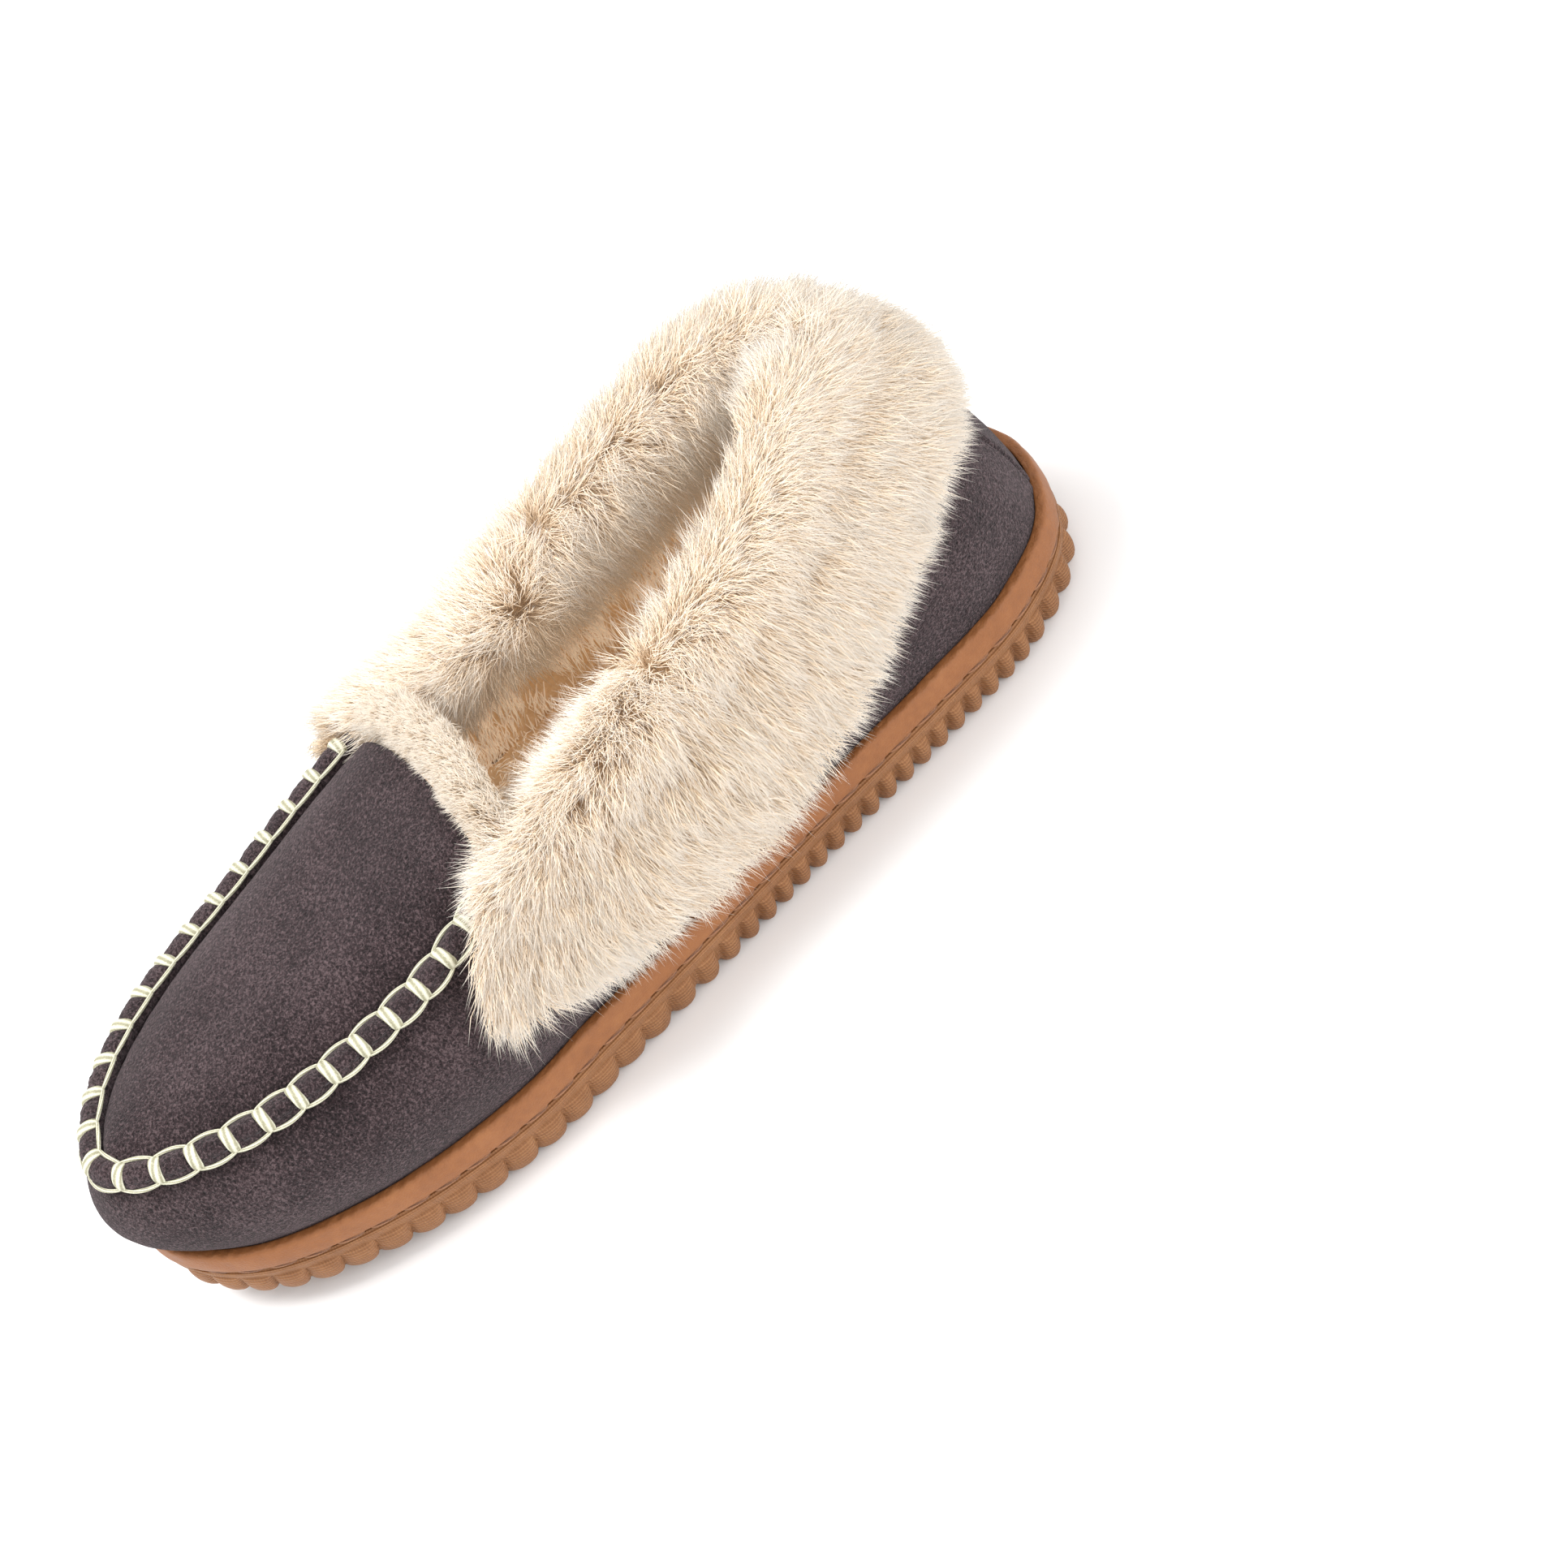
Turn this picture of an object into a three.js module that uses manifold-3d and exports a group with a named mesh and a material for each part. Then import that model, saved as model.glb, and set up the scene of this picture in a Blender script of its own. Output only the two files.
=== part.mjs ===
// A moccasin house slipper for the right foot, in millimetres, +Z up, toe towards -Y, medial side +X.
// A moulded cup sole holds a foam midsole, a board and a fur footbed. A suede wall runs round the
// foot, a suede plug closes the toe, a piped seam with a thick lace joins them, and a band of long
// fur is folded out over the mouth.
import * as THREE from 'three';
import { mergeVertices } from 'three/addons/utils/BufferGeometryUtils.js';
import Module from 'manifold-3d';

const wasm = await Module();
wasm.setup();

// ---------- driving dimensions ----------
const SOLE_LENGTH = 262;
const SOLE_HEIGHT = 21.5; // rubber side, ground to the top of the smooth band
const TOE_SPRING = 7.7; // how far the toe end of the rubber's top edge rises
const SPRING_START = -50; // the sole is flat behind this Y
const RUBBER_WALL = 2.8; // thickness of the cup's side
const CUP_FLOOR = 6; // inside floor of the cup
const TREAD_RECESS = 1.2; // the middle tread panel is this far off the ground
const TREAD_RIM = 17; // width of the ribbed rim around that panel
const GROOVE_HEIGHT = 13.7; // stitched groove below the smooth band
const RIB_DEPTH = 1.5;
const RIBS_PER_SIDE = 42;
const SUEDE = 1.8; // suede with its backing
const GAP = 0.3; // clearance between pieces that touch
const LINING = 5.6; // fleece lining
const COUNTER = 1.2; // heel stiffener
const PIPING_RADIUS = 3.2;
const LACE_RADIUS = 0.65;
const LACE_PITCH = 8;
const ROLL_RADIUS = 17; // folded fur at the top line
const CUFF_THICKNESS = 12; // turned-down fur outside the wall
const CUFF_EDGE = 5.5; // its thickness at the lower edge
const BADGE_RADIUS = 6.75;

// The last, one row for each station round the foot, from the back of the heel along the medial
// side to the toe tip and back along the lateral side:
// sole outline x, y; top edge of the wall x, y, z; height of the cuff's lower edge.
const LAST = [
  [2.5, 131, 2.5, 108, 76, 50],
  [24, 123.5, 12, 103, 76.5, 50],
  [35, 103, 19, 90, 75.5, 49],
  [37.5, 75, 22.5, 70, 72, 42],
  [38.5, 35, 24.5, 36, 64.5, 28],
  [40.5, -5, 27, 2, 60, 25],
  [41.5, -27, 28.5, -22, 62, 29],
  [42.5, -52, 29, -50, 55.5, 44],
  [37.5, -87, 25.5, -86, 54, 44],
  [25, -117, 16, -113, 54.5, 44],
  [4, -131, 3, -126, 55.5, 44],
  [-20, -122, -14, -117, 54.5, 44],
  [-40, -100, -26, -96, 54, 44],
  [-48.5, -65, -32, -62, 55, 44],
  [-47, -27, -32.5, -22, 62, 32],
  [-44, -5, -34, 2, 58, 28],
  [-41.5, 35, -33.5, 36, 62, 33],
  [-35, 75, -29, 72, 70.5, 46],
  [-30, 103, -21, 90, 75, 50],
  [-19, 123.5, -8.5, 103, 76, 50],
];
const STATIONS = LAST.length;
const TOE = 10; // row of the toe tip
const THROAT_MEDIAL = 6; // rows where the plug ends and the mouth begins
const THROAT_LATERAL = 14;

// ---------- curves of the last ----------
const SIZE = SOLE_LENGTH / 262;
const curveOf = (pick) => new THREE.CatmullRomCurve3(
  LAST.map((row) => pick(row).multiplyScalar(SIZE)), true, 'catmullrom', 0.5);
const soleCurve = curveOf((row) => new THREE.Vector3(row[0], row[1], 0));
const edgeCurve = curveOf((row) => new THREE.Vector3(row[2], row[3], row[4]));
const cuffCurve = curveOf((row) => new THREE.Vector3(0, 0, row[5]));

const wrap = (station) => (((station % STATIONS) + STATIONS) % STATIONS) / STATIONS;
const mix = (a, b, t) => a + (b - a) * t;
const smooth = (a, b, x) => THREE.MathUtils.smoothstep(x, a, b);

// Plan direction pointing out of the foot at a station.
function outward(station) {
  const along = soleCurve.getTangent(wrap(station));
  return new THREE.Vector3(-along.y, along.x, 0).normalize();
}

// The toe lifts off the ground a little more at the bottom of the sole than at the top.
function lift(y, z) {
  const reach = (SPRING_START - y) / (SPRING_START + SOLE_LENGTH / 2);
  const rise = TOE_SPRING * Math.max(0, reach) ** 1.6;
  return rise * (1.25 - 0.25 * Math.min(1, z / SOLE_HEIGHT));
}

// A point of the sole, a given distance in from its outline, at a given height.
function solePoint(station, inset, z) {
  const p = soleCurve.getPoint(wrap(station)).addScaledVector(outward(station), -inset);
  return p.setZ(z + lift(p.y, z));
}

// 1 along the toe seam, 0 along the mouth.
const seamZone = (station) => smooth(THROAT_MEDIAL - 0.9, THROAT_MEDIAL - 0.1, station)
  * (1 - smooth(THROAT_LATERAL + 0.1, THROAT_LATERAL + 0.9, station));

// Stations away from the back of the heel, counted either way round.
const fromHeel = (station) => Math.min(wrap(station), 1 - wrap(station)) * STATIONS;

// Where the wall stops beside the piping, measured from the middle of the piping.
const WALL_STOP = new THREE.Vector2(3.3, -3);
const WALL_INSET = RUBBER_WALL + GAP + 0.1;
const SIDE_BULGE = 3.5; // how far the wall swells out of straight beside the foot
const END_BULGE = 5.6; // and round the toe and the heel

// Heights at which the wall's surface bends; between them it is straight, so that every layer
// inside or outside the wall lies parallel to it. arch is the share of the bulge at a height.
const LEVELS = [0, 0.18, 0.44, 0.72, 1];
function arch(t) {
  const next = Math.max(1, LEVELS.findIndex((level) => t <= level));
  const [below, above] = [LEVELS[next - 1], LEVELS[next]];
  const swell = (level) => 4 * level * (1 - level);
  return mix(swell(below), swell(above), (t - below) / (above - below));
}

// The wall: t runs from 0 at the top of the rubber to 1 at its upper edge, depth goes inwards.
function wallPoint(station, t, depth) {
  const k = wrap(station) * STATIONS;
  const out = outward(k);
  const low = solePoint(k, WALL_INSET, SOLE_HEIGHT);
  const top = edgeCurve.getPoint(wrap(k)).addScaledVector(out, WALL_STOP.x * seamZone(k));
  top.z += WALL_STOP.y * seamZone(k);
  const bulge = mix(SIDE_BULGE, END_BULGE, Math.max(seamZone(k), 1 - smooth(1, 2.6, fromHeel(k))));
  return low.lerp(top, t).addScaledVector(out, bulge * arch(t) - depth);
}

// ---------- solids ----------
// Colour, roughness and metalness of each material.
const FINISH = {
  rubber: [0xbe805a, 0.62, 0],
  suede: [0x4c4045, 0.95, 0],
  fur: [0xf0e2cf, 1, 0],
  lace: [0xe2e0cc, 0.7, 0],
  thread: [0x6b452c, 0.7, 0],
  foam: [0xd9d6cf, 0.9, 0],
  board: [0x9a8a72, 0.9, 0],
  brass: [0xc9b050, 0.3, 1],
};
const slipper = new THREE.Group();

function addPiece(name, geometry, finish) {
  const [color, roughness, metalness] = FINISH[finish];
  const material = new THREE.MeshStandardMaterial({ color, roughness, metalness });
  const mesh = new THREE.Mesh(geometry, material);
  mesh.name = name;
  slipper.add(mesh);
  return mesh;
}

function geometryOf(points, faces) {
  const geometry = new THREE.BufferGeometry();
  const coordinates = points.flatMap((p) => [p.x, p.y, p.z]);
  geometry.setAttribute('position', new THREE.Float32BufferAttribute(coordinates, 3));
  const volume = faces.reduce((sum, [a, b, c]) => sum
    + points[a].dot(new THREE.Vector3().crossVectors(points[b], points[c])), 0);
  geometry.setIndex(faces.flatMap((f) => (volume < 0 ? [f[0], f[2], f[1]] : f)));
  return geometry;
}

// Skins a row of sections that all have the same number of points. A closed loft is a ring;
// an open one has its first and last sections filled.
function loft(sections, closed) {
  const size = sections[0].length;
  const faces = [];
  const spans = closed ? sections.length : sections.length - 1;
  for (let i = 0; i < spans; i += 1) {
    const next = (i + 1) % sections.length;
    for (let j = 0; j < size; j += 1) {
      const k = (j + 1) % size;
      faces.push([i * size + j, next * size + j, next * size + k]);
      faces.push([i * size + j, next * size + k, i * size + k]);
    }
  }
  if (!closed) {
    const last = sections.length - 1;
    const end = last * size;
    faces.push(...capFaces(sections[0]));
    faces.push(...capFaces(sections[last]).map(([a, b, c]) => [end + a, end + c, end + b]));
  }
  return geometryOf(sections.flat(), faces);
}

// Triangles that fill one section, found in the plane that the section lies in best.
function capFaces(section) {
  const centre = section.reduce((sum, p) => sum.add(p), new THREE.Vector3()).divideScalar(section.length);
  const normal = new THREE.Vector3();
  section.forEach((p, i) => {
    const q = section[(i + 1) % section.length];
    normal.add(new THREE.Vector3().crossVectors(p.clone().sub(centre), q.clone().sub(centre)));
  });
  normal.normalize();
  const turn = new THREE.Quaternion().setFromUnitVectors(normal, new THREE.Vector3(0, 0, 1));
  const flat = section.map((p) => p.clone().sub(centre).applyQuaternion(turn));
  return THREE.ShapeUtils.triangulateShape(flat.map((p) => new THREE.Vector2(p.x, p.y)), []);
}

// A rod with a round section of `sides` corners through a row of points.
function rod(path, radius, sides) {
  const sections = path.map((p, i) => {
    const [behind, ahead] = [path[Math.max(i - 1, 0)], path[Math.min(i + 1, path.length - 1)]];
    const along = ahead.clone().sub(behind).normalize();
    const across = new THREE.Vector3().crossVectors(along, new THREE.Vector3(0.13, 0.21, 1)).normalize();
    const up = new THREE.Vector3().crossVectors(across, along);
    return ringAround(p, across, up, radius, radius, sides);
  });
  return loft(sections, false);
}

function ringAround(centre, a, b, radiusA, radiusB, sides) {
  return Array.from({ length: sides }, (_, j) => {
    const angle = (2 * Math.PI * j) / sides;
    return centre.clone()
      .addScaledVector(a, radiusA * Math.cos(angle))
      .addScaledVector(b, radiusB * Math.sin(angle));
  });
}

function manifoldOf(geometry) {
  const bare = mergeVertices(bareGeometry(geometry));
  return new wasm.Manifold(new wasm.Mesh({
    numProp: 3,
    vertProperties: new Float32Array(bare.attributes.position.array),
    triVerts: new Uint32Array(bare.index.array),
  }));
}

function bareGeometry(geometry) {
  const bare = geometry.clone();
  bare.deleteAttribute('normal');
  bare.deleteAttribute('uv');
  return bare;
}

function geometryOfManifold(solid) {
  const { vertProperties, triVerts } = solid.getMesh();
  const geometry = new THREE.BufferGeometry();
  geometry.setAttribute('position', new THREE.BufferAttribute(new Float32Array(vertProperties), 3));
  geometry.setIndex(Array.from(triVerts));
  return geometry;
}

const steps = (from, to, count) => Array.from({ length: count + 1 }, (_, i) => mix(from, to, i / count));

// ---------- sole ----------
// Rib positions along one side, heel to toe, as fractions of that side's length: broad waves at the
// back of the heel, fine ribs beside the heel and waist, broad ribs round the front.
function ribFractions() {
  const pitch = (f) => mix(mix(8.2, 5.5, smooth(0.08, 0.16, f)), 8.6, smooth(0.5, 0.62, f));
  const marks = [0];
  let at = 0;
  for (let i = 0; i < 2 * RIBS_PER_SIDE; i += 1) {
    at += pitch(i / (2 * RIBS_PER_SIDE));
    marks.push(at);
  }
  return marks.map((mark) => mark / at);
}

// Stations of the rib crests and the hollows between them, all the way round.
function ribStations() {
  const lengths = soleCurve.getLengths(STATIONS * 40);
  const whole = lengths[lengths.length - 1];
  const toeArc = lengths[TOE * 40] / whole;
  const stationAt = (arc) => soleCurve.getUtoTmapping(arc) * STATIONS;
  const medial = ribFractions().map((f) => stationAt(f * toeArc));
  const lateral = ribFractions().slice(1, -1).map((f) => stationAt(1 - f * (1 - toeArc)));
  return [...medial, ...lateral.reverse()];
}

// Outer profile of the rubber from the rim of the tread up over the smooth band and down into the
// cup: inset from the outline, height, and how much of the rib depth shows there.
const SOLE_PROFILE = [
  [TREAD_RIM, TREAD_RECESS, 0],
  [TREAD_RIM - 0.6, 0, 0],
  [4.2, 0, 0.6],
  [0.9, 3.5, 1],
  [0.4, 12.3, 0],
  [2, GROOVE_HEIGHT - 0.6, 0],
  [2, GROOVE_HEIGHT + 0.6, 0],
  [0, 15.5, 0],
  [0.7, SOLE_HEIGHT, 0],
  [RUBBER_WALL, SOLE_HEIGHT, 0],
  [RUBBER_WALL, CUP_FLOOR, 0],
];

function outsole() {
  const stations = ribStations();
  const rings = SOLE_PROFILE.map(([inset, z, rib]) => stations.map((station, i) => (
    solePoint(station, inset + (i % 2) * rib * RIB_DEPTH, z))));
  const count = stations.length;
  const faces = [];
  for (let level = 0; level + 1 < rings.length; level += 1) {
    for (let i = 0; i < count; i += 1) {
      const j = (i + 1) % count;
      faces.push([level * count + i, level * count + j, (level + 1) * count + j]);
      faces.push([level * count + i, (level + 1) * count + j, (level + 1) * count + i]);
    }
  }
  faces.push(...crossFaces(count).map(([a, b, c]) => [a, c, b]));
  const top = (rings.length - 1) * count;
  faces.push(...crossFaces(count).map(([a, b, c]) => [top + a, top + b, top + c]));
  return geometryOf(rings.flat(), faces);
}

// Fills a ring of points with strips that run straight across the foot.
function crossFaces(count) {
  const faces = [];
  const half = count / 2;
  for (let i = 0; i < half; i += 1) {
    const a = i;
    const b = i + 1;
    const c = (count - i - 1) % count;
    const d = (count - i) % count;
    if (b !== c) faces.push([a, b, c]);
    if (d !== a) faces.push([a, c, d]);
  }
  return faces;
}

// A flat layer inside the shoe that follows the sole's outline and its toe spring.
function layer(inset, bottom, top) {
  const rows = 22;
  const sections = Array.from({ length: rows + 1 }, (_, i) => {
    const f = (1 - Math.cos(Math.PI * mix(0.06, 0.94, i / rows))) / 2;
    const medial = f * TOE;
    const lateral = STATIONS - f * (STATIONS - TOE);
    return [[medial, bottom], [lateral, bottom], [lateral, top], [medial, top]]
      .map(([station, z]) => solePoint(station, inset, z));
  });
  return loft(sections, false);
}

// One continuous thread lies in the groove all round the sole.
function soleStitching() {
  const across = new THREE.Vector3(0, 0, 1);
  return loft(allRound.map((station) => (
    ringAround(solePoint(station, 1, GROOVE_HEIGHT), outward(station), across, 0.45, 0.45, 4))), true);
}

// ---------- upper ----------
// A shell that follows the wall through the levels given, with its faces at two depths.
function shell(stations, levels, outerDepth, thickness, closed) {
  return loft(stations.map((station) => {
    const outer = levels.map((t) => wallOrTuck(station, t, outerDepth(station)));
    const inner = levels.map((t) => wallOrTuck(station, t, outerDepth(station) + thickness));
    return [...outer, ...inner.reverse()];
  }), closed);
}

// Below the top of the rubber (negative t, in millimetres) the wall goes straight down in the cup.
function wallOrTuck(station, t, depth) {
  return t < 0 ? solePoint(station, WALL_INSET + depth, SOLE_HEIGHT + t) : wallPoint(station, t, depth);
}

const ROUND_STEPS = 64;
const allRound = steps(0, STATIONS, ROUND_STEPS).slice(0, -1);

function suedeWall() {
  return shell(allRound, [-6, ...LEVELS], () => 0, SUEDE, true);
}

// How far behind the wall's outer face the lining starts: the heel stiffener sits between them.
const heelZone = (station) => 1 - smooth(2.5, 2.9, fromHeel(station));
const liningDepth = (station) => SUEDE + 2 * GAP + heelZone(station) * (COUNTER + GAP);

function wallLining() {
  return shell(allRound, [-7.5, ...LEVELS.slice(0, -1), 0.82], liningDepth, LINING, true);
}

function heelCounter() {
  const heel = allRound.filter((station) => fromHeel(station) < 2.4);
  const wrapped = [...heel.filter((k) => k > TOE), ...heel.filter((k) => k < TOE)];
  return shell(wrapped, [0.02, ...LEVELS.slice(1, 3), 0.58], () => SUEDE + GAP, COUNTER, false);
}

// Middle of the piping along the toe seam, with its crest and outer-side directions.
function seamFrame(station) {
  const out = outward(station);
  return {
    centre: edgeCurve.getPoint(wrap(station)),
    crest: out.clone().multiplyScalar(0.45).add(new THREE.Vector3(0, 0, 0.9)).normalize(),
    side: out.clone().multiplyScalar(0.9).add(new THREE.Vector3(0, 0, -0.45)).normalize(),
  };
}

function piping(radius, from, to, count, sides) {
  return loft(steps(from, to, count).map((station) => {
    const { centre, crest, side } = seamFrame(station);
    return ringAround(centre, side, crest, radius, radius, sides);
  }), false);
}

// The lace: a rail along each side of the piping, joined by bars that cross over its crest.
function whipstitchLace() {
  const from = THROAT_MEDIAL + 0.25;
  const to = THROAT_LATERAL - 0.25;
  const reach = PIPING_RADIUS + GAP + LACE_RADIUS + 0.25;
  const at = (station, angle) => {
    const { centre, crest, side } = seamFrame(station);
    return centre
      .addScaledVector(crest, reach * Math.cos(angle))
      .addScaledVector(side, reach * Math.sin(angle));
  };
  const railAngle = 1.2;
  const bars = Math.round(seamLength(from, to) / LACE_PITCH);
  const rail = (angle) => manifoldOf(rod(steps(from, to, 32).map((k) => at(k, angle)), LACE_RADIUS, 4));
  let lace = rail(railAngle).add(rail(-railAngle));
  steps(from + 0.06, to - 0.06, bars).forEach((station) => {
    const arc = steps(-railAngle, railAngle, 3).map((angle) => at(station, angle));
    lace = lace.add(manifoldOf(rod(arc, LACE_RADIUS * 1.3, 4)));
  });
  return geometryOfManifold(lace);
}

function seamLength(from, to) {
  const path = steps(from, to, 80).map((k) => edgeCurve.getPoint(wrap(k)));
  return path.slice(1).reduce((sum, p, i) => sum + p.distanceTo(path[i]), 0);
}

// The plug: a runs from 0 at the toe tip to 1 at the throat, b from -1 lateral to 1 medial.
const PLUG_STOP = 4; // the plug's edge lies this far inside the middle of the piping
const THROAT_BOW = 5; // the throat edge bows towards the heel
const CROWN = 8; // rise of the plug above its edges
function plugPoint(a, b, drop) {
  const edges = [mix(TOE, THROAT_LATERAL, a), mix(TOE, THROAT_MEDIAL, a)].map((station) => (
    edgeCurve.getPoint(wrap(station)).addScaledVector(outward(station), -PLUG_STOP)));
  const p = edges[0].lerp(edges[1], (b + 1) / 2);
  const crown = (1 - b * b) * CROWN * Math.sqrt(Math.min(1, a * 1.6));
  p.y += THROAT_BOW * smooth(0.7, 1, a) * (1 - b * b);
  return p.setZ(p.z + crown - drop);
}

function plugSheet(thickness, drop, shrink, from, to) {
  return loft(steps(from, to, 14).map((a) => {
    const across = steps(-shrink, shrink, 6);
    const upper = across.map((b) => plugPoint(a, b, drop));
    const lower = across.map((b) => plugPoint(a, b, drop + thickness));
    return [...upper, ...lower.reverse()];
  }), false);
}

// ---------- fur ----------
// The cuff folds over the wall's upper edge: a short leg inside, a round roll, and a long skirt
// outside whose front end sweeps forward over the toe seam.
const CUFF_STEPS = 18; // steps of the wall's own spacing on each side of the heel
const CUFF_END = (CUFF_STEPS * STATIONS) / ROUND_STEPS;
const CUFF_SWEEP = 0.85; // stations that the lower front corner is swept forward
const FRONT_ROLL = 8; // the roll is thinner where it meets the plug
const HEEL_RISE = 6; // the cuff stands this much higher round the heel
const HEM_RISE = 5; // and its lower hem by this much
const HEEL_LEAN = 8; // its medial side leans this far into the mouth near the heel
const LEAN_STATION = 1.9;
const LEAN_SPREAD = 1.3;
function cuffSection(station) {
  const front = smooth(3.4, CUFF_END, Math.abs(station));
  const sweep = (t) => station + Math.sign(station) * CUFF_SWEEP * front * (1 - t);
  const wallTop = edgeCurve.getPoint(wrap(station)).z - SOLE_HEIGHT;
  const heel = 1 - smooth(1, 3.6, Math.abs(station));
  const lean = HEEL_LEAN * Math.exp(-(((station - LEAN_STATION) / LEAN_SPREAD) ** 2));
  const hem = cuffCurve.getPoint(wrap(station)).z - SOLE_HEIGHT + HEM_RISE * heel;
  const bottom = Math.max(0.06, hem / wallTop);
  const roll = mix(ROLL_RADIUS, FRONT_ROLL, front);
  const skirt = steps(1, 0, 4).map((share) => mix(bottom, 1, share));
  const out = outward(station);
  const rollPoint = (side, up) => wallPoint(station, 1, SUEDE / 2)
    .addScaledVector(out, side * roll - lean)
    .add(new THREE.Vector3(0, 0, up * roll + HEEL_RISE * heel));
  const under = skirt.map((t) => wallPoint(sweep(t), t, -(2 + 2 * front) * GAP));
  under[0].z += GAP;
  const over = skirt.slice(1).reverse().map((t, i) => (
    wallPoint(sweep(t), t, -(i === 0 ? CUFF_EDGE : mix(CUFF_THICKNESS, CUFF_EDGE, front * 0.5)))));
  const inner = wallPoint(station, 1, SUEDE + GAP);
  inner.z += GAP;
  return [
    wallPoint(station, 0.88, SUEDE + GAP),
    inner,
    ...under,
    ...over,
    rollPoint(0.78, 0.3),
    rollPoint(0.45, 0.84),
    rollPoint(-0.08, 1),
    rollPoint(-0.6, 0.74),
    rollPoint(-0.86, 0.16),
    wallPoint(station, 0.88, SUEDE + GAP + roll * 0.6),
  ];
}

function furCuff() {
  const folded = manifoldOf(loft(steps(CUFF_END, -CUFF_END, 2 * CUFF_STEPS).map(cuffSection), false));
  const room = PIPING_RADIUS + 2 * LACE_RADIUS + 1.4;
  const medial = manifoldOf(piping(room, THROAT_MEDIAL - 1, THROAT_MEDIAL + 1.2, 10, 8));
  const lateral = manifoldOf(piping(room, THROAT_LATERAL - 1.2, THROAT_LATERAL + 1, 10, 8));
  return geometryOfManifold(folded.subtract(medial).subtract(lateral));
}

// A soft fur trim closes the end of the plug.
function tongueFur() {
  const up = new THREE.Vector3(0, 0, 1);
  const back = new THREE.Vector3(0, 1, 0);
  return loft(steps(-0.86, 0.86, 12).map((b) => {
    const p = plugPoint(1, b, 0);
    p.y += 6.9;
    return ringAround(p, back, up, 6.2, 5.6 - 1.5 * b * b, 8);
  }), false);
}

// ---------- badge ----------
const BADGE_STATION = STATIONS - 2.8;
const BADGE_T = 0.34;

// A domed rivet head with its shank, made along +Z and turned to face out of the lateral wall.
function badgeRivet() {
  const r = BADGE_RADIUS;
  const profile = [[0, -3.2], [1.2, -3.2], [1.2, 0.4], [r, 0.4], [r, 0.9], [r * 0.7, 1.5], [0, 1.8]];
  return new THREE.LatheGeometry(profile.map(([x, y]) => new THREE.Vector2(x, y)), 20);
}

function badgeWasher() {
  const profile = [[1.5, 0], [4.4, 0], [4.4, 0.7], [1.5, 0.7], [1.5, 0]];
  return new THREE.LatheGeometry(profile.map(([x, y]) => new THREE.Vector2(x, y)), 16);
}

function placeOnWall(mesh, depth) {
  const base = wallPoint(BADGE_STATION, BADGE_T, 0);
  const up = wallPoint(BADGE_STATION, BADGE_T + 0.05, 0).sub(base);
  const along = wallPoint(BADGE_STATION + 0.05, BADGE_T, 0).sub(base);
  const normal = new THREE.Vector3().crossVectors(along, up).normalize();
  if (normal.dot(outward(BADGE_STATION)) < 0) normal.negate();
  mesh.quaternion.setFromUnitVectors(new THREE.Vector3(0, 1, 0), normal);
  mesh.position.copy(base).addScaledVector(normal, -depth);
  mesh.updateMatrix();
  return mesh;
}

// Cuts a round hole for the rivet or its washer out of a piece of the upper.
function drilled(geometry, radius, from, to) {
  const bit = new THREE.Mesh(new THREE.CylinderGeometry(radius, radius, to - from, 12));
  const drill = placeOnWall(bit, (from + to) / 2);
  const hole = drill.geometry.clone().applyMatrix4(drill.matrix);
  return geometryOfManifold(manifoldOf(geometry).subtract(manifoldOf(hole)));
}

// ---------- assembly ----------
addPiece('outsole', outsole(), 'rubber');
addPiece('sole_stitching', soleStitching(), 'thread');
addPiece('midsole_foam', layer(RUBBER_WALL + GAP + 0.3, CUP_FLOOR + GAP, 11.6), 'foam');
addPiece('insole_board', layer(RUBBER_WALL + GAP + 0.3, 12, 13.5), 'board');
addPiece('footbed_foam', layer(14, 13.8, 19.3), 'foam');
addPiece('footbed_fur', layer(14, 19.6, 24.6), 'fur');
addPiece('suede_wall', drilled(suedeWall(), 1.5, -2, SUEDE + 1), 'suede');
addPiece('heel_counter', heelCounter(), 'board');
addPiece('wall_lining', drilled(wallLining(), 5.2, SUEDE + GAP - 1, SUEDE + GAP + 1.9), 'fur');
addPiece('moc_piping', piping(PIPING_RADIUS, THROAT_MEDIAL, THROAT_LATERAL, 36, 8), 'suede');
addPiece('whipstitch_lace', whipstitchLace(), 'lace');
addPiece('toe_plug', plugSheet(SUEDE, 0, 1, 0.09, 1), 'suede');
addPiece('plug_lining', plugSheet(LINING - 1, SUEDE + GAP, 0.9, 0.16, 0.98), 'fur');
addPiece('fur_cuff', furCuff(), 'fur');
addPiece('tongue_fur', tongueFur(), 'fur');
placeOnWall(addPiece('badge_rivet', badgeRivet(), 'brass'), 0);
placeOnWall(addPiece('badge_washer', badgeWasher(), 'brass'), SUEDE + GAP + 1);

// The origin is the middle of the slipper's footprint, on the ground.
slipper.updateMatrixWorld(true);
const bounds = new THREE.Box3().setFromObject(slipper, true);
const middle = bounds.getCenter(new THREE.Vector3());
slipper.position.set(-middle.x, -middle.y, -bounds.min.z);

export default slipper;
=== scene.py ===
"""Looks of the moccasin house slipper: ribbed rubber sole, suede upper, laced toe seam and fur.

Shapes are worked out in millimetres on the same last as the CAD part, with +Z up, the toe towards
-Y and the medial side towards +X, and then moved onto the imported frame.
"""
import math

import bpy
import numpy as np
from mathutils import Matrix, Vector


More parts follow.
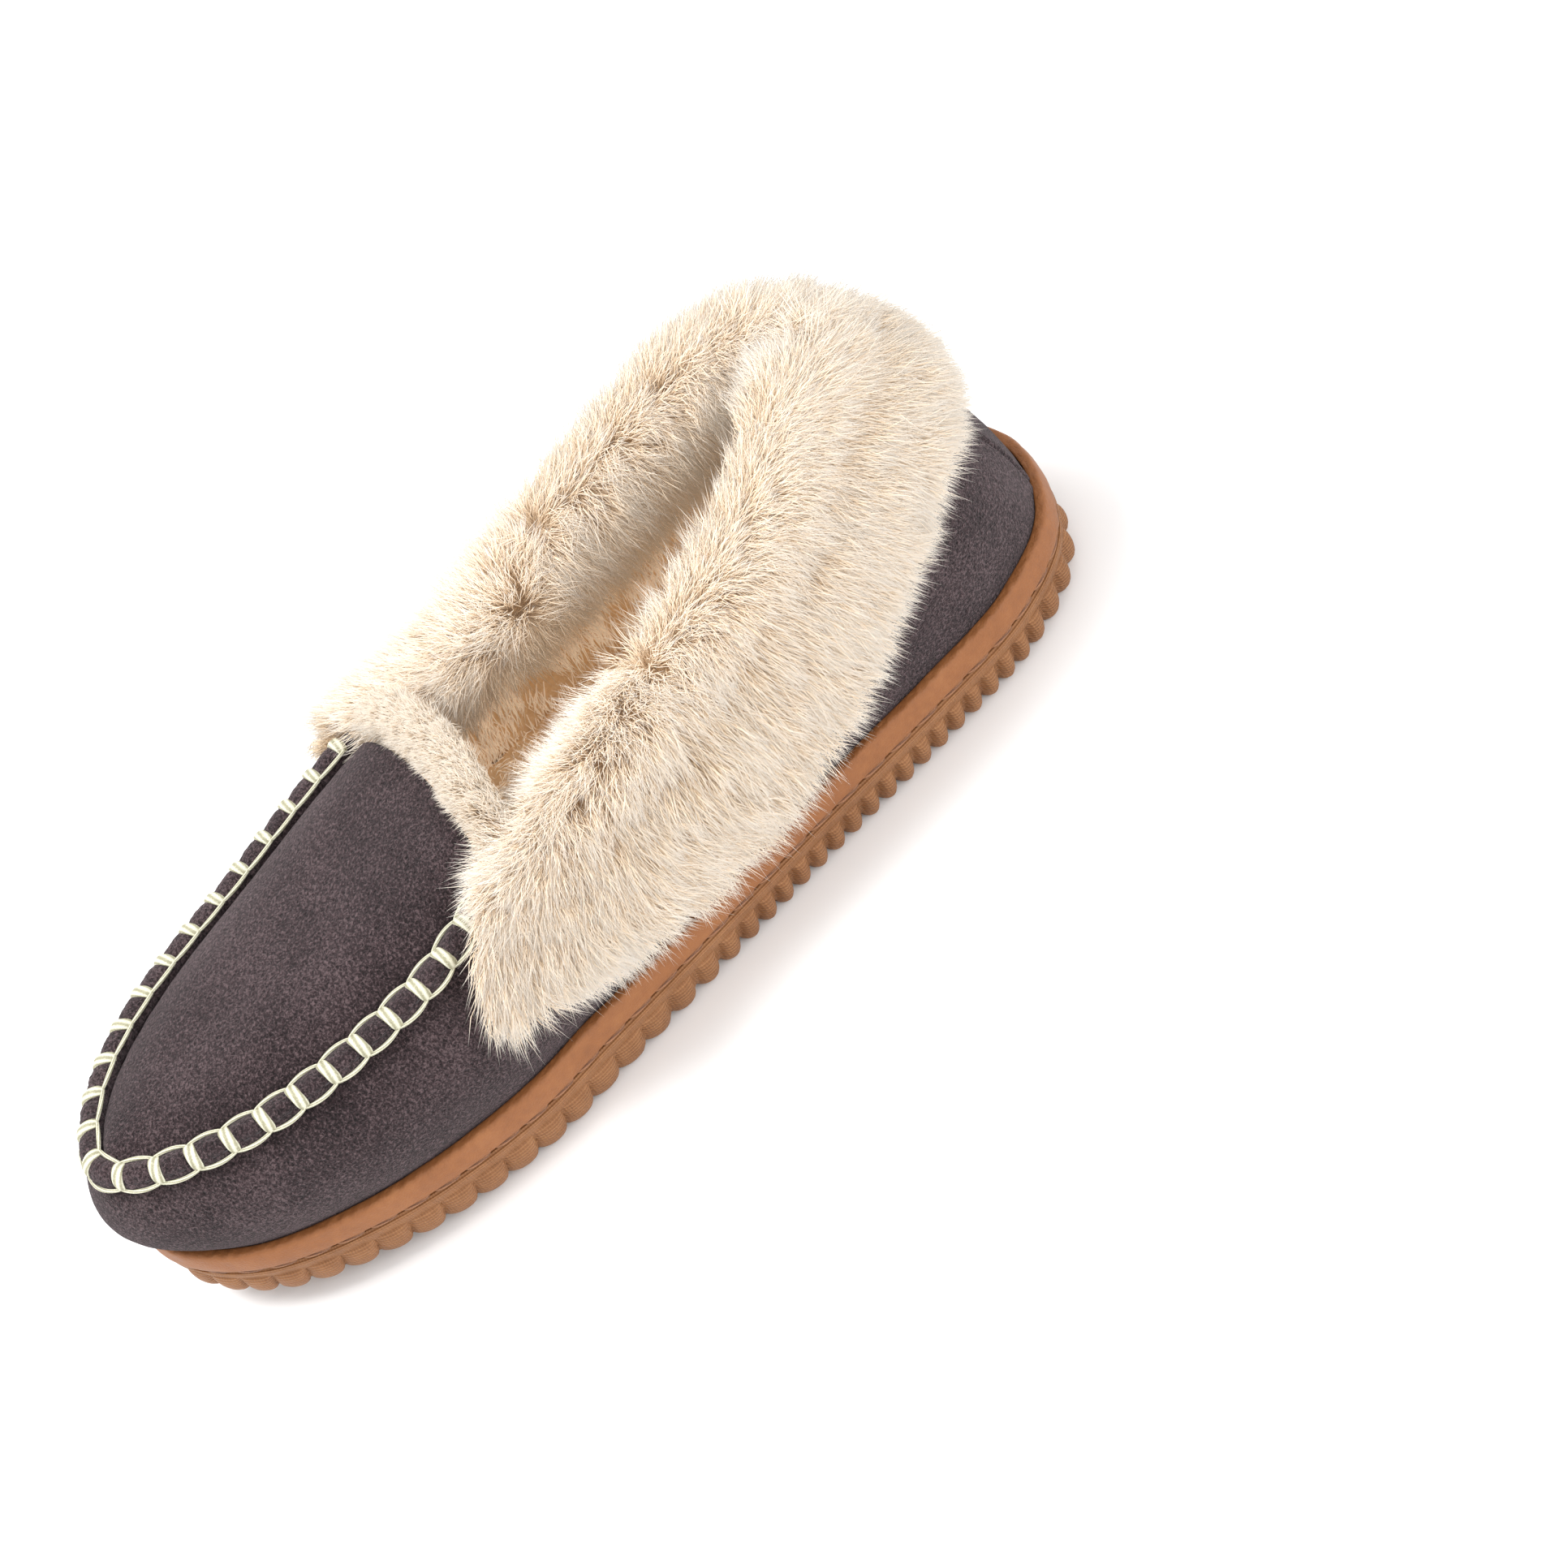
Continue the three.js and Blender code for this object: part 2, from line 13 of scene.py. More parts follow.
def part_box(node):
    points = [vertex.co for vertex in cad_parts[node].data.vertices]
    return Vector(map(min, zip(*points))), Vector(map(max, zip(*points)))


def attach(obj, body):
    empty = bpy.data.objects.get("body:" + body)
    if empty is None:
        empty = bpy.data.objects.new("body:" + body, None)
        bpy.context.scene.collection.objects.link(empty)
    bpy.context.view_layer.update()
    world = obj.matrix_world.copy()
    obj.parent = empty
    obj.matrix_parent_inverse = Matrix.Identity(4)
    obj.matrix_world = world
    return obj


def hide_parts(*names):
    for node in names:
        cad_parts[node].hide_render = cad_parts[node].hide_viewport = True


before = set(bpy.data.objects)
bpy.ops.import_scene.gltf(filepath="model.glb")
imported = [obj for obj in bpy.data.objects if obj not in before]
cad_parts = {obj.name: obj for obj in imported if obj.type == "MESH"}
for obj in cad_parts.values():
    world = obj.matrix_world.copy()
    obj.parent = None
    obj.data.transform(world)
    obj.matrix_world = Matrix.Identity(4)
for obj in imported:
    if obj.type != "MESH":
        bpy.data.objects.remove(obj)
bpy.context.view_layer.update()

# ---------- the last ----------
MM = 0.001
# One row for each station round the foot, from the back of the heel along the medial side to the
# toe and back: sole outline x, y; top edge of the wall x, y, z; height of the cuff's lower edge.
LAST = np.array([
    [2.5, 131, 2.5, 108, 76, 50],
    [24, 123.5, 12, 103, 76.5, 50],
    [35, 103, 19, 90, 75.5, 49],
    [37.5, 75, 22.5, 70, 72, 42],
    [38.5, 35, 24.5, 36, 64.5, 28],
    [40.5, -5, 27, 2, 60, 25],
    [41.5, -27, 28.5, -22, 62, 29],
    [42.5, -52, 29, -50, 55.5, 44],
    [37.5, -87, 25.5, -86, 54, 44],
    [25, -117, 16, -113, 54.5, 44],
    [4, -131, 3, -126, 55.5, 44],
    [-20, -122, -14, -117, 54.5, 44],
    [-40, -100, -26, -96, 54, 44],
    [-48.5, -65, -32, -62, 55, 44],
    [-47, -27, -32.5, -22, 62, 32],
    [-44, -5, -34, 2, 58, 28],
    [-41.5, 35, -33.5, 36, 62, 33],
    [-35, 75, -29, 72, 70.5, 46],
    [-30, 103, -21, 90, 75, 50],
    [-19, 123.5, -8.5, 103, 76, 50],
], dtype=float)
PLAN, TOP_EDGE, HEM = [0, 1], [2, 3, 4], [5]  # columns of the table
STATIONS = len(LAST)
TOE = 10
THROAT_MEDIAL, THROAT_LATERAL = 6, 14
SOLE_HEIGHT = 21.5
TOE_SPRING, SPRING_START = 7.7, -50
TREAD_RIM, TREAD_RECESS = 17, 1.3
GROOVE_HEIGHT = 13.7
RIB_DEPTH, RIBS_PER_SIDE = 2.3, 42
SUEDE = 1.8
WALL_INSET = 3.2
SIDE_BULGE, END_BULGE = 3.5, 5.6
LIP_OUT, LIP_DROP = 2.6, 2.2  # from the toe seam's middle to the wall's edge beside it
PIPING_RADIUS = 3.2
LACE_PITCH = 8.6
UP = np.array([0.0, 0.0, 1.0])
SQUARE = ((-1, -1), (1, -1), (1, 1), (-1, 1))


def smooth(a, b, x):
    t = np.clip((np.asarray(x, float) - a) / (b - a), 0, 1)
    return t * t * (3 - 2 * t)


def mix(a, b, t):
    return a + (b - a) * t


def unit(v):
    return v / np.maximum(np.linalg.norm(v, axis=-1, keepdims=True), 1e-9)


def loop(count, full=2 * math.pi):
    """Even steps round a closed loop."""
    return np.linspace(0, full, count, endpoint=False)


def running_length(points):
    """Length along polylines, from 0 at their first point."""
    steps = np.linalg.norm(np.diff(points, axis=-2), axis=-1)
    return np.concatenate([np.zeros((*steps.shape[:-1], 1)), np.cumsum(steps, axis=-1)], axis=-1)


def pairs(a, b):
    """Two arrays, broadcast together, as one array of pairs."""
    return np.stack(np.broadcast_arrays(a, b), axis=-1)


def on_last(columns, station):
    """Values from the last's table at any stations, on a closed curve through its rows."""
    k = np.asarray(station, float) % STATIONS
    i = np.floor(k).astype(int)
    f = (k - i)[..., None]
    p0, p1, p2, p3 = (LAST[(i + step) % STATIONS][..., columns] for step in (-1, 0, 1, 2))
    return p1 + 0.5 * f * (p2 - p0 + f * (2 * p0 - 5 * p1 + 4 * p2 - p3
                                          + f * (3 * (p1 - p2) + p3 - p0)))


def outward(station):
    """Plan direction pointing out of the foot."""
    along = on_last(PLAN, station + 0.01) - on_last(PLAN, station - 0.01)
    flat = np.zeros(along.shape[:-1])
    return unit(np.stack([-along[..., 1], along[..., 0], flat], axis=-1))


def lift(y, z):
    """The toe lifts off the ground a little more at the bottom of the sole than at the top."""
    reach = np.maximum(0, (SPRING_START - y) / (SPRING_START - LAST[TOE, 1]))
    return TOE_SPRING * reach ** 1.6 * (1.25 - 0.25 * np.minimum(1, z / SOLE_HEIGHT))


def sole_point(station, inset, z):
    """A point of the sole, a given distance in from its outline, at a given height."""
    station, inset, z = np.broadcast_arrays(station, inset, z)
    plan = on_last(PLAN, station)
    p = np.concatenate([plan, z[..., None]], axis=-1) - outward(station) * inset[..., None]
    p[..., 2] += lift(p[..., 1], z)
    return p


def seam_zone(station):
    """1 along the toe seam, 0 along the mouth."""
    k = station % STATIONS
    return smooth(THROAT_MEDIAL - 0.9, THROAT_MEDIAL - 0.1, k) * (
        1 - smooth(THROAT_LATERAL + 0.1, THROAT_LATERAL + 0.9, k))


def from_back(station):
    """Stations from the back of the heel, below zero on the lateral side."""
    return (station + TOE) % STATIONS - TOE


def wall_point(station, t, depth):
    """The wall: t is 0 at the top of the rubber and 1 at its upper edge, depth goes inwards."""
    station, t, depth = np.broadcast_arrays(station, t, depth)
    out = outward(station)
    zone = seam_zone(station)[..., None]
    low = sole_point(station, WALL_INSET, SOLE_HEIGHT)
    top = on_last(TOP_EDGE, station) + out * LIP_OUT * zone - UP * LIP_DROP * zone
    heel = 1 - smooth(1, 2.6, np.abs(from_back(station)))
    bulge = mix(SIDE_BULGE, END_BULGE, np.maximum(zone[..., 0], heel))
    arch = 4 * np.maximum(t, 0) * (1 - t)
    return mix(low, top, t[..., None]) + out * (bulge * arch - depth)[..., None]


# Arc length along the sole's outline.
FINE = np.linspace(0, STATIONS, 8001)
outline = on_last(PLAN, FINE)
ARC = running_length(outline)
ROUND = ARC[-1]
TOE_ARC = np.interp(TOE, FINE, ARC)


def station_at(arc):
    return np.interp(arc % ROUND, ARC, FINE)


def arc_at(station):
    return np.interp(station % STATIONS, FINE, ARC)


def side_fraction(station):
    """0 at the back of the heel and 1 at the toe, by length along either side."""
    arc = arc_at(station)
    return np.where(arc < TOE_ARC, arc / TOE_ARC, (ROUND - arc) / (ROUND - TOE_ARC))


# The slipper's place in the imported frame.
sole_low, sole_high = (np.array(corner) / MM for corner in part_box("outsole"))
SHIFT = (sole_low + sole_high) / 2
SHIFT[:2] -= (outline.min(axis=0) + outline.max(axis=0)) / 2
SHIFT[2] = 0


# ---------- noise ----------
def waves(p, scale, seed, count=7):
    """Smooth noise of about unit size: a sum of plane waves of one length."""
    rng = np.random.default_rng(seed)
    total = np.zeros(p.shape[:-1])
    for _ in range(count):
        direction = unit(rng.normal(size=p.shape[-1]))
        total += np.sin(p @ direction * (2 * math.pi / scale) + rng.uniform(0, 2 * math.pi))
    return total / math.sqrt(count / 2) / 1.6


# ---------- meshes ----------
def volume(points, faces):
    """The volume inside a mesh, below zero if its faces look inwards."""
    total = 0.0
    for corners in (points[f] for f in faces):
        for k in range(1, corners.shape[1] - 1):
            total += np.sum(corners[:, 0] * np.cross(corners[:, k], corners[:, k + 1])) / 6
    return total


def add_object(name, data):
    made = bpy.data.objects.new(name, data)
    bpy.context.collection.objects.link(made)
    return made


def make_object(name, points, faces, uv=None, values=None):
    """A mesh object from points in millimetres and arrays of triangles or quads, with its faces
    turned to look outwards. values are numbers kept at each point under their names."""
    mesh = bpy.data.meshes.new(name)
    faces = [np.asarray(f, dtype=np.int32) for f in faces if len(f)]
    if volume(points, faces) < 0:
        faces = [f[:, ::-1] for f in faces]
    corners = np.concatenate([f.ravel() for f in faces])
    sizes = np.concatenate([np.full(len(f), f.shape[1]) for f in faces])
    mesh.vertices.add(len(points))
    mesh.vertices.foreach_set("co", ((points + SHIFT) * MM).astype(np.float32).ravel())
    mesh.loops.add(len(corners))
    mesh.loops.foreach_set("vertex_index", corners)
    mesh.polygons.add(len(sizes))
    starts = np.cumsum(sizes) - sizes
    mesh.polygons.foreach_set("loop_start", starts.astype(np.int32))
    mesh.polygons.foreach_set("use_smooth", np.ones(len(sizes), dtype=bool))
    mesh.update(calc_edges=True)
    if uv is not None:
        layer = mesh.uv_layers.new(name="surface")
        layer.data.foreach_set("uv", uv[corners].astype(np.float32).ravel())
    for key, data in (values or {}).items():
        kept = mesh.attributes.new(key, "FLOAT", "POINT")
        kept.data.foreach_set("value", data.astype(np.float32))
    return add_object(name, mesh)


def grid_faces(rows, columns, joined=False):
    """Quads over rows of points. Each row closes round, and joined rows close round too."""
    i = np.arange(rows if joined else rows - 1)[:, None]
    j = np.arange(columns)
    a = i * columns + j
    b = i * columns + (j + 1) % columns
    c = ((i + 1) % rows) * columns + (j + 1) % columns
    d = ((i + 1) % rows) * columns + j
    return np.stack([a, b, c, d], axis=-1).reshape(-1, 4)


def grid_object(name, grid, uv=None, ends="capped"):
    """A skin over a grid of points (rows, columns, 3). Its rows are closed rings, and the first
    and last of them are capped, joined to each other or left open."""
    rows, columns = grid.shape[:2]
    faces = [grid_faces(rows, columns, ends == "joined")]
    points = grid.reshape(-1, 3)
    flat_uv = None if uv is None else uv.reshape(-1, 2)
    if ends == "capped":
        centres = np.stack([grid[0].mean(axis=0), grid[-1].mean(axis=0)])
        points = np.concatenate([points, centres])
        if flat_uv is not None:
            flat_uv = np.concatenate([flat_uv, uv[0].mean(axis=0)[None], uv[-1].mean(axis=0)[None]])
        j = np.arange(columns)
        k = (j + 1) % columns
        last = (rows - 1) * columns
        first_cap = np.stack([k, j, np.full(columns, rows * columns)], axis=-1)
        last_cap = np.stack([last + j, last + k, np.full(columns, rows * columns + 1)], axis=-1)
        faces += [first_cap, last_cap]
    return make_object(name, points, faces, flat_uv)


def tubes(name, paths, widths, normals, sides=8, flat=1.0):
    """Closed rods with flat ends. paths is (rods, steps, 3), widths are their radii, normals a
    direction across each rod; flat squashes the section along that direction."""
    rods, steps = paths.shape[:2]
    widths = np.broadcast_to(widths, (rods, steps))
    along = unit(np.gradient(paths, axis=1))
    across = unit(np.cross(along, normals))
    high = unit(np.cross(across, along))
    angle = loop(sides)
    ring = (across[..., None, :] * np.cos(angle)[:, None]
            + high[..., None, :] * (flat * np.sin(angle))[:, None])
    points = paths[..., None, :] + ring * widths[..., None, None]
    size = steps * sides
    first = (np.arange(rods) * size)[:, None, None]
    fan = np.array([[0, i + 1, i] for i in range(1, sides - 1)])
    faces = [grid_faces(steps, sides) + first, fan + first,
             fan[:, ::-1] + first + size - sides]
    uv = pairs(running_length(paths)[..., None], np.arange(sides) / sides)
    return make_object(name, points.reshape(-1, 3), [f.reshape(-1, f.shape[-1]) for f in faces],
                       uv.reshape(-1, 2))


def finish_piece(obj, material, slot, *nodes):
    """Gives a piece its material and its body, and hides the CAD nodes it stands for. slot is not
    used.
    """
    obj.data.materials.append(material)
    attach(obj, "root")
    if nodes:
        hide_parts(*nodes)
    return obj


# ---------- materials ----------
def put(target, inputs):
    """Fills a node's inputs with plain values or with links from other nodes."""
    for key, value in inputs.items():
        if isinstance(value, bpy.types.NodeSocket):
            target.id_data.links.new(value, target.inputs[key])
        else:
            target.inputs[key].default_value = value


def new_material(name):
    """A material with its Principled shader and a helper that adds nodes to it."""
    material = bpy.data.materials.new(name)
    material.use_nodes = True
    tree = material.node_tree

    def node(kind, inputs, **settings):
        made = tree.nodes.new(kind)
        for key, value in settings.items():
            setattr(made, key, value)
        put(made, inputs)
        return made

    return material, tree.nodes["Principled BSDF"], node


def linear(colour):
    """A linear colour with its alpha, from the usual 0 to 255 values."""
    return (*(((c / 255 + 0.055) / 1.055) ** 2.4 for c in colour), 1)


def ramp(node, value, stops):
    """A colour ramp fed by a value, with (position, colour) stops."""
    made = node("ShaderNodeValToRGB", {0: value})
    elements = made.color_ramp.elements
    while len(elements) < len(stops):
        elements.new(0.5)
    for element, (position, colour) in zip(elements, stops):
        element.position = position
        element.color = linear(colour)
    return made.outputs["Color"]


def add_noise(node, scale, detail, roughness, distortion=0.0):
    place = node("ShaderNodeTexCoord", {}).outputs["Object"]
    made = node("ShaderNodeTexNoise", {"Vector": place, "Scale": scale, "Detail": detail,
                                       "Roughness": roughness, "Distortion": distortion})
    return made.outputs["Fac"]


def maths(node, operation, a, b=0.0):
    return node("ShaderNodeMath", {0: a, 1: b}, operation=operation).outputs[0]


def weighted(node, *terms):
    """The sum of values times their weights."""
    parts = [maths(node, "MULTIPLY", value, weight) for value, weight in terms]
    total = parts[0]
    for part in parts[1:]:
        total = maths(node, "ADD", total, part)
    return total


def add_bump(node, height, strength, distance):
    made = node("ShaderNodeBump", {"Height": height, "Strength": strength, "Distance": distance})
    return made.outputs["Normal"]


def add_range(node, value, low, high):
    return node("ShaderNodeMapRange", {"Value": value, "To Min": low, "To Max": high}).outputs[0]


def surface_map(node):
    """Length along a piece and girth round it."""
    surface = node("ShaderNodeUVMap", {}, uv_map="surface").outputs["UV"]
    split = node("ShaderNodeSeparateXYZ", {0: surface})
    return split.outputs["X"], split.outputs["Y"]


def suede_material(name, tones):
    """Napped suede: worm-like speckle, cloudy brushing and a soft sheen."""
    material, shader, node = new_material(name)
    speckle = add_noise(node, 1600, 3, 0.7, 0.6)
    clouds = add_noise(node, 55, 3, 0.55)
    tone = weighted(node, (speckle, 0.85), (clouds, 0.15))
    put(shader, {
        "Base Color": ramp(node, tone, tones),
        "Roughness": 0.95,
        "Specular IOR Level": 0.15,
        "Sheen Weight": 0.22,
        "Sheen Roughness": 0.45,
        "Sheen Tint": (0.75, 0.66, 0.68, 1),
        "Normal": add_bump(node, speckle, 0.9, 0.0012),
    })
    return material


LINE_PITCH, TICK_PITCH = 0.85, 0.7  # of the rubber's cloth texture


def rubber_material(name, tones, weave, grain):
    """Tan rubber. weave is the strength of the moulded cloth texture, read along the sole's edge
    and across it; grain is the strength of the leather-like pitting."""
    material, shader, node = new_material(name)
    along, across = surface_map(node)
    line = maths(node, "SINE", maths(node, "MULTIPLY", across, 2 * math.pi / LINE_PITCH))
    tick = maths(node, "SINE", maths(node, "MULTIPLY", along, 2 * math.pi / TICK_PITCH))
    cloth = weighted(node, (line, 1), (tick, 0.35))
    fine = add_noise(node, 2200, 2, 0.5)
    broad = add_noise(node, 45, 3, 0.6)
    mid = add_noise(node, 400, 3, 0.6)
    # The cloth texture also darkens the colour in its grooves and lightens it on its ridges:
    # painted shade.
    tone = weighted(node, (broad, 0.55), (mid, 0.45), (cloth, 0.12 * weave))
    height = weighted(node, (cloth, 0.35 * weave), (fine, grain))
    put(shader, {
        "Base Color": ramp(node, tone, tones),
        "Roughness": add_range(node, mid, 0.42, 0.62),
        "Specular IOR Level": 0.35,
        "Normal": add_bump(node, height, 0.8, 0.0005),
    })
    return material


def cord_material(name, tones, plies):
    """Waxed cord: plies run along it, read from the piece's own length and girth."""
    material, shader, node = new_material(name)
    along, girth = surface_map(node)
    twist = maths(node, "MULTIPLY", along, 0.9)
    turn = maths(node, "MULTIPLY", girth, 2 * math.pi * plies)
    ply = maths(node, "SINE", maths(node, "ADD", turn, twist))
    fibre = add_noise(node, 3500, 3, 0.7)
    # The plies also darken the colour in the grooves between them, where the bump sinks: painted
    # shade.
    tone = weighted(node, (ply, 0.22), (fibre, 1))
    put(shader, {
        "Base Color": ramp(node, tone, tones),
        "Roughness": 0.55,
        "Normal": add_bump(node, tone, 0.5, 0.0003),
    })
    return material


def fur_material(name, tones, dark, glow):
    """Pile: each strand runs from its root's tone to its tip's, and tufts differ a little.
    glow stands for the light that hairs pass on to one another."""
    material, shader, node = new_material(name)
    along, tuft = (node("ShaderNodeAttribute", {}, attribute_name=key).outputs["Fac"]
                   for key in ("along", "tuft"))
    colour = ramp(node, along, list(zip((0.0, 0.5, 0.9), tones)))
    darker = maths(node, "MULTIPLY", tuft, dark)
    shade = node("ShaderNodeMix", {0: darker, 6: colour, 7: linear(tones[0])}, data_type="RGBA")
    put(shader, {
        "Base Color": shade.outputs[2],
        "Roughness": 0.75,
        "Specular IOR Level": 0.2,
        "Emission Color": (1.0, 0.83, 0.64, 1),
        "Emission Strength": glow,
    })
    return material


def brass_material(name):
    material, shader, node = new_material(name)
    scratches = add_noise(node, 260, 3, 0.6)
    tones = [(0.3, (190, 168, 92)), (0.7, (212, 192, 114))]
    put(shader, {
        "Base Color": ramp(node, scratches, tones),
        "Roughness": add_range(node, scratches, 0.2, 0.3),
        "Metallic": 1.0,
    })
    return material


def plain_material(name, low, high, scale, roughness):
    material, shader, node = new_material(name)
    noise = add_noise(node, scale, 4, 0.6)
    put(shader, {
        "Base Color": ramp(node, noise, [(0.3, low), (0.7, high)]),
        "Roughness": roughness,
        "Normal": add_bump(node, noise, 0.4, 0.0004),
    })
    return material


SUEDE_TONES = [(0.38, (22, 16, 17)), (0.5, (51, 39, 41)), (0.62, (96, 80, 82))]
RIBBED_TONES = [(0.25, (125, 81, 46)), (0.5, (145, 98, 61)), (0.8, (165, 117, 77))]
SMOOTH_TONES = [(0.25, (123, 75, 40)), (0.5, (140, 88, 49)), (0.8, (157, 104, 62))]
CUFF_TONES = [(230, 200, 162), (238, 221, 198), (245, 240, 233)]
TONGUE_TONES = [(214, 188, 156), (223, 208, 188), (230, 222, 211)]
LINING_TONES = [(222, 190, 150), (240, 219, 190), (248, 236, 216)]
suede = suede_material("suede", SUEDE_TONES)
rubber_ribbed = rubber_material("rubber_ribbed", RIBBED_TONES, weave=1, grain=0.25)
rubber_smooth = rubber_material("rubber_smooth", SMOOTH_TONES, weave=0, grain=0.5)
thread_brown = cord_material("thread_brown", [(0.2, (92, 56, 34)), (0.9, (168, 116, 78))], 3)
thread_dark = cord_material("thread_dark", [(0.2, (28, 20, 22)), (0.9, (58, 46, 50))], 2)
# The lace's darker tone is partly painted shade, set darker to match the shade on its loops.
lace_cord = cord_material("lace_cord", [(0.3, (150, 146, 118)), (0.7, (222, 220, 198))], 5)
brass = brass_material("brass")
cuff_pile = fur_material("cuff_pile", CUFF_TONES, dark=0.38, glow=0.06)
tongue_pile = fur_material("tongue_pile", TONGUE_TONES, dark=0.45, glow=0.03)
lining_pile = fur_material("lining_pile", LINING_TONES, dark=0.3, glow=0.22)
# The backing's tan is partly its own colour and partly painted shade, darker than the strands so
# the gaps between them read as shade.
pile_base = plain_material("pile_base", (224, 190, 148), (240, 212, 174), 700, 0.95)
foam = plain_material("foam", (214, 210, 200), (232, 229, 220), 1500, 0.9)
board = plain_material("board", (140, 122, 98), (168, 150, 122), 900, 0.9)


# ---------- sole ----------
def rib_marks():
    """Where the ribs fall from heel to toe: broad, then fine, then broad round the front."""
    f = np.arange(2 * RIBS_PER_SIDE) / (2 * RIBS_PER_SIDE)
    pitch = mix(mix(8.2, 5.5, smooth(0.08, 0.16, f)), 8.6, smooth(0.5, 0.62, f))
    marks = np.concatenate([[0], np.cumsum(pitch)])
    return marks / marks[-1], np.arange(2 * RIBS_PER_SIDE + 1) / 2


RIB_AT, RIB_NUMBER = rib_marks()


def rib_height(station):
    """0 in the valleys and 1 on the crests. Fingers with flat gaps beside the heel and waist,
    close scallops with a steep side round the front."""
    f = side_fraction(station)
    phase = np.interp(f, RIB_AT, RIB_NUMBER) % 1
    finger = np.sqrt(np.clip(1 - ((2 * phase - 1) / 0.74) ** 2, 0, 1))
    skewed = 2 * phase ** 0.8 - 1
    scallop = np.sqrt(np.clip(1 - np.abs(skewed) ** 2.1, 0, 1))
    wave = 0.5 - 0.5 * np.cos(2 * math.pi * phase)
    shape = mix(finger, scallop, smooth(0.46, 0.6, f))
    return mix(wave, shape, smooth(0.05, 0.12, f))


def resampled(profile, spacing):
    """Points every so many millimetres along a polyline, with their directions into the body."""
    profile = np.array(profile, float)
    lengths = running_length(profile)
    at = np.linspace(0, lengths[-1], max(2, int(lengths[-1] / spacing) + 1))
    points = np.stack([np.interp(at, lengths, profile[:, c]) for c in range(2)], axis=-1)
    along = unit(np.gradient(points, axis=0))
    return points, np.stack([along[:, 1], -along[:, 0]], axis=-1), at


# Profiles of the sole's side: distance in from the outline, and height.
SOLE_SIDE = [(TREAD_RIM + 0.3, 2.2), (TREAD_RIM, 1.2), (16.4, 0.35), (15.6, 0), (5.6, 0),
             (4.2, 0.12), (3, 0.6), (2, 1.5), (1.3, 2.8), (0.9, 4.4), (0.65, 7), (0.5, 10.5),
             (0.55, 12), (0.8, 12.6), (1.4, 12.9), (2.0, 13.1), (2.1, 13.7)]
SOLE_BAND = [(2.1, 13.7), (1.9, 14.1), (1.3, 14.3), (0.65, 14.5), (0.25, 14.9), (0.05, 15.8),
             (0, 17.2), (0.1, 18.8), (0.3, 20.2), (0.6, 21.1), (1.0, 21.45), (1.7, 21.55),
             (2.8, 21.5), (3.1, 21.3), (3.15, 16)]
SLANT = 7.0  # ribs lean along the sole by this much from the side to the tread
RIB_SHOULDER, RIB_ROUND = 5.2, 3.6  # the ribs' straight part and their round ends, in height


def ribbed_side():
    """The lower side and the rim of the tread, carved between the ribs."""
    points, inwards, at = resampled(SOLE_SIDE, 0.62)
    arc = loop(1500, ROUND)
    inset, z = points[:, :1], points[:, 1:]
    lean = SLANT * (1 - at / at[-1])[:, None] ** 1.5
    station = station_at(arc)
    f = side_fraction(station)
    toeward = np.where(arc < TOE_ARC, 1, -1) * smooth(0.02, 0.1, f) * (1 - smooth(0.9, 0.98, f))
    crest = rib_height(station_at(arc - lean * toeward))
    above = np.maximum(0, z - RIB_SHOULDER)
    on_side = np.sqrt(np.clip(1 - (above / RIB_ROUND) ** 2, 0, 1))
    on_rim = 1 - 0.55 * smooth(4, 16, inset)
    edge = smooth(TREAD_RIM + 0.3, TREAD_RIM - 0.5, inset)
    carve = RIB_DEPTH * (1 - crest) * on_side * on_rim * edge
    carve += RIB_DEPTH * 0.55 * (z > RIB_SHOULDER) * (1 - on_side) * smooth(12.6, 8.0, z)
    grid = sole_point(station, inset + inwards[:, :1] * carve, z + inwards[:, 1:] * carve)
    return grid_object("ribbed_side", grid, pairs(arc, at[:, None]), ends="open")


def smooth_band():
    """The plain band above the groove, slightly uneven."""
    points, _, at = resampled(SOLE_BAND, 0.4)
    arc = loop(1200, ROUND)
    inset, z = points[:, :1], points[:, 1:]
    surface = pairs(arc, at[:, None])
    dent = 0.09 * waves(surface, 23, 1) + 0.05 * waves(surface, 6, 2)
    ragged = 0.12 * waves(surface, 3.1, 3) * smooth(20.8, 21.5, z) * (inset < 2)
    grid = sole_point(station_at(arc), inset + dent * smooth(14.2, 15.5, z), z + ragged)
    return grid_object("smooth_band", grid, surface, ends="open")


HATCH_PITCH = 2.1
LOZENGE = 19.5
PLATE_X, PLATE_Y = -6, 20  # middle of the plain plate at the arch
PLATE_HALF_WIDTH, PLATE_HALF_LENGTH = 9.5, 27


def tread_height(x, y):
    """The moulded pattern of the tread panel: lozenges in rows, every other one hatched with
    lines, and fine grooves between them."""
    across, along = x * 0.78, (y + 8) * 0.62
    u, v = (across + along) / LOZENGE, (across - along) / LOZENGE
    hatched = (np.floor(u) + np.floor(v)) % 2 == 0
    stripe = smooth(-0.5, 0.3, np.sin(x * (2 * math.pi / HATCH_PITCH)))
    fu, fv = np.abs((u + 0.5) % 1 - 0.5), np.abs((v + 0.5) % 1 - 0.5)
    groove = 1 - smooth(0.008, 0.03, np.minimum(fu, fv))
    return -0.6 * np.where(hatched, stripe, 0) - 0.35 * groove * (1 - hatched)


def across_foot(inset, rows, columns, start=0.03, end=0.97):
    """A grid of sole stations: rows from heel to toe, columns from medial to lateral."""
    f = np.linspace(start, end, rows)[:, None]
    medial = sole_point(station_at(f * TOE_ARC * 0.9999), inset, 0.0)
    lateral = sole_point(station_at(ROUND - f * (ROUND - TOE_ARC)), inset, 0.0)
    grid = mix(medial, lateral, np.linspace(0, 1, columns)[:, None])
    grid[..., 2] = 0
    return grid


